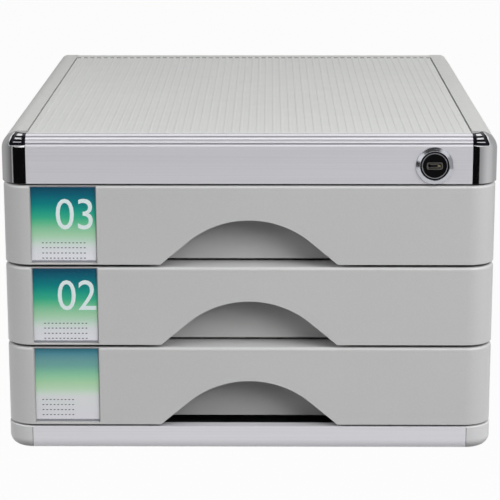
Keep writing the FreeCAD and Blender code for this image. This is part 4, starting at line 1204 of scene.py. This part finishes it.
def soft_lamp(name, power, size, place):
    """Square soft lamp that faces the cabinet and stays out of reflections."""
    light = bpy.data.lights.new(name, "AREA")
    light.energy = power
    light.size = size
    lamp = bpy.data.objects.new(name, light)
    lamp.location = place
    lamp.rotation_euler = (Vector(LAMP_TARGET) - Vector(place)).to_track_quat("-Z", "Y").to_euler()
    bpy.context.scene.collection.objects.link(lamp)
    lamp.visible_glossy = False


def gloss_only(name, mesh, paint):
    """Link a glowing screen that only gloss sees; paint gives its colour within its node tree."""
    material = bpy.data.materials.new(name)
    tree = empty_tree(material)
    glow = add_node(tree, "ShaderNodeEmission", {"Color": paint(tree), "Strength": 1.0})
    show(tree, glow.outputs["Emission"])
    mesh.materials.append(material)
    made = bpy.data.objects.new(name, mesh)
    bpy.context.scene.collection.objects.link(made)
    made.visible_camera = False
    made.visible_diffuse = False
    made.visible_shadow = False
    made.visible_transmission = False


def upright_screen(name, radius, start, end, low, high, shades, steps=64):
    """Curved screen round the cabinet that only gloss sees; angles run from the front, right is positive."""
    points = []
    for step in range(steps + 1):
        angle = math.radians(start + (end - start) * step / steps)
        x, y = radius * math.sin(angle), FRONT_Y - radius * math.cos(angle)
        points += [(x, y, low), (x, y, high)]
    faces = [(first, first + 1, first + 3, first + 2) for first in range(0, 2 * steps, 2)]
    mesh = bpy.data.meshes.new(name)
    mesh.from_pydata(points, [], faces)
    round_map = mesh.uv_layers.new(name="round")
    for loop in mesh.loops:
        round_map.data[loop.index].uv = ((loop.vertex_index // 2) / steps, loop.vertex_index % 2)

    def paint(tree):
        spot = add_node(tree, "ShaderNodeUVMap", uv_map="round").outputs["UV"]
        along = add_node(tree, "ShaderNodeSeparateXYZ", {"Vector": spot}).outputs["X"]
        ramp = add_node(tree, "ShaderNodeValToRGB", {"Fac": along})
        fill_ramp(ramp, [(place, (shade, shade, shade, 1.0)) for place, shade in shades])
        return ramp.outputs["Color"]

    gloss_only(name, mesh, paint)


def canopy(name, low, high, shade):
    """Level screen above the front that only gloss sees."""
    mesh = bpy.data.meshes.new(name)
    mesh.from_pydata([low, (high[0], low[1], low[2]), high, (low[0], high[1], low[2])], [], [(0, 1, 2, 3)])
    gloss_only(name, mesh, lambda tree: (shade, shade, shade, 1.0))


class CABINET_OT_stage(bpy.types.Operator):
    """Set up the floor, the light and the camera"""

    bl_idname = "cabinet.stage"
    bl_label = "Stage"

    def execute(self, context):
        scene, studio = context.scene, context.scene.cabinet_studio
        self.floor(studio)
        self.surroundings(scene, studio)
        soft_lamp("main_lamp", studio.key_power, 1.6, (0.95, -1.0, 1.25))
        soft_lamp("fill_lamp", studio.fill_power, 1.4, (-1.5, -0.7, 1.0))
        soft_lamp("back_lamp", studio.back_power, 1.4, (0.5, 1.6, 1.1))
        upright_screen("dark_screen", SCREEN_RADIUS, -71.5, 46, 0.0, 0.3, DARK_SHADES)
        upright_screen("high_dark_screen", SCREEN_RADIUS, -34, 36, 0.3, 1.6, DARK_SHADES)
        canopy("dark_canopy", (-0.4, -0.95, 1.6), (0.4, 0.6, 1.6), DARK)
        upright_screen("right_glow", GLOW_RADIUS, 36, 62, 0.31, 1.3, RIGHT_SHADES)
        upright_screen("left_glow", GLOW_RADIUS, -64, -22, 0.2, 1.3, LEFT_SHADES)
        upright_screen("grey_screen", SCREEN_RADIUS, 46, 288.5, 0.0, 0.5, GREY_SHADES)
        self.camera(scene)
        return {"FINISHED"}

    def floor(self, studio):
        """Large plain floor that is pale to the camera and keeps its shadow."""
        corners = [(x * FLOOR_REACH, y * FLOOR_REACH, 0) for x, y in ((-1, -1), (1, -1), (1, 1), (-1, 1))]
        mesh = mesh_from("floor", corners, [(0, 1, 2, 3)])
        material = bpy.data.materials.new("floor")
        tree = empty_tree(material)
        plain = add_node(tree, "ShaderNodeBsdfDiffuse", {"Color": tuple(studio.floor) + (1.0,)})
        show(tree, lifted_to_white(tree, plain.outputs["BSDF"], studio.floor_show))
        mesh.materials.append(material)
        floor = bpy.data.objects.new("floor", mesh)
        bpy.context.scene.collection.objects.link(floor)

    def surroundings(self, scene, studio):
        """Even light from all round, and white where it is seen."""
        world = bpy.data.worlds.new("surroundings")
        scene.world = world
        tree = empty_tree(world)
        dim = add_node(tree, "ShaderNodeBackground", {"Color": WHITE, "Strength": studio.ambient})
        show(tree, lifted_to_white(tree, dim.outputs["Background"], 1.0), "ShaderNodeOutputWorld")

    def camera(self, scene):
        """Camera above the front, a little to the right of the middle."""
        down, turn, roll = CAMERA_DOWN, CAMERA_TURN, CAMERA_ROLL
        forward = Vector((-math.sin(turn) * math.cos(down), math.cos(turn) * math.cos(down), -math.sin(down)))
        right = Vector((math.cos(turn), math.sin(turn), 0.0))
        up = right.cross(forward)
        level_right = math.cos(roll) * right + math.sin(roll) * up
        level_up = -math.sin(roll) * right + math.cos(roll) * up
        axes = Matrix((level_right, level_up, -forward)).transposed().to_4x4()
        view = bpy.data.cameras.new("camera")
        view.sensor_fit = "HORIZONTAL"
        view.sensor_width = CAMERA_SENSOR
        view.lens = CAMERA_LENS
        view.shift_x, view.shift_y = CAMERA_SHIFT
        view.clip_start, view.clip_end = CAMERA_CLIP
        camera = bpy.data.objects.new("camera", view)
        camera.matrix_world = Matrix.Translation(CAMERA_PLACE) @ axes
        scene.collection.objects.link(camera)
        scene.camera = camera
        scene.view_settings.view_transform = "Standard"


# ---------------------------------------------------------------- panel and registration

PIECE_OPERATORS = (
    CABINET_OT_front_rail, CABINET_OT_corner_caps, CABINET_OT_top_frame, CABINET_OT_ribbed_panel,
    CABINET_OT_drawer_fronts, CABINET_OT_labels, CABINET_OT_lock, CABINET_OT_base, CABINET_OT_carcass,
    CABINET_OT_trays, CABINET_OT_metal_parts, CABINET_OT_feet, CABINET_OT_stage,
)


class CABINET_PT_pieces(bpy.types.Panel):
    """Pieces and stage of the cabinet"""

    bl_idname = "CABINET_PT_pieces"
    bl_label = "File Drawer"
    bl_space_type = "VIEW_3D"
    bl_region_type = "UI"
    bl_category = "File Drawer"

    def draw(self, context):
        column = self.layout.column(align=True)
        for operator in PIECE_OPERATORS:
            column.operator(operator.bl_idname)
        scene = context.scene
        for group in (scene.cabinet_sizes, scene.cabinet_colours, scene.cabinet_studio):
            box = self.layout.box()
            for name in group.__annotations__:
                box.prop(group, name)


CLASSES = (CabinetSizes, CabinetColours, CabinetStudio) + PIECE_OPERATORS + (CABINET_PT_pieces,)


def register():
    """Register the classes and hang the settings on the scene."""
    for item in CLASSES:
        bpy.utils.register_class(item)
    bpy.types.Scene.cabinet_sizes = PointerProperty(type=CabinetSizes)
    bpy.types.Scene.cabinet_colours = PointerProperty(type=CabinetColours)
    bpy.types.Scene.cabinet_studio = PointerProperty(type=CabinetStudio)


def unregister():
    """Take the settings and the classes away again."""
    del bpy.types.Scene.cabinet_studio
    del bpy.types.Scene.cabinet_colours
    del bpy.types.Scene.cabinet_sizes
    for item in reversed(CLASSES):
        bpy.utils.unregister_class(item)


def main():
    """Build every piece and the stage."""
    register()
    bpy.ops.cabinet.front_rail()
    bpy.ops.cabinet.corner_caps()
    bpy.ops.cabinet.top_frame()
    bpy.ops.cabinet.ribbed_panel()
    bpy.ops.cabinet.drawer_fronts()
    bpy.ops.cabinet.labels()
    bpy.ops.cabinet.lock()
    bpy.ops.cabinet.base()
    bpy.ops.cabinet.carcass()
    bpy.ops.cabinet.trays()
    bpy.ops.cabinet.metal_parts()
    bpy.ops.cabinet.feet()
    bpy.ops.cabinet.stage()


if __name__ == "__main__":
    main()
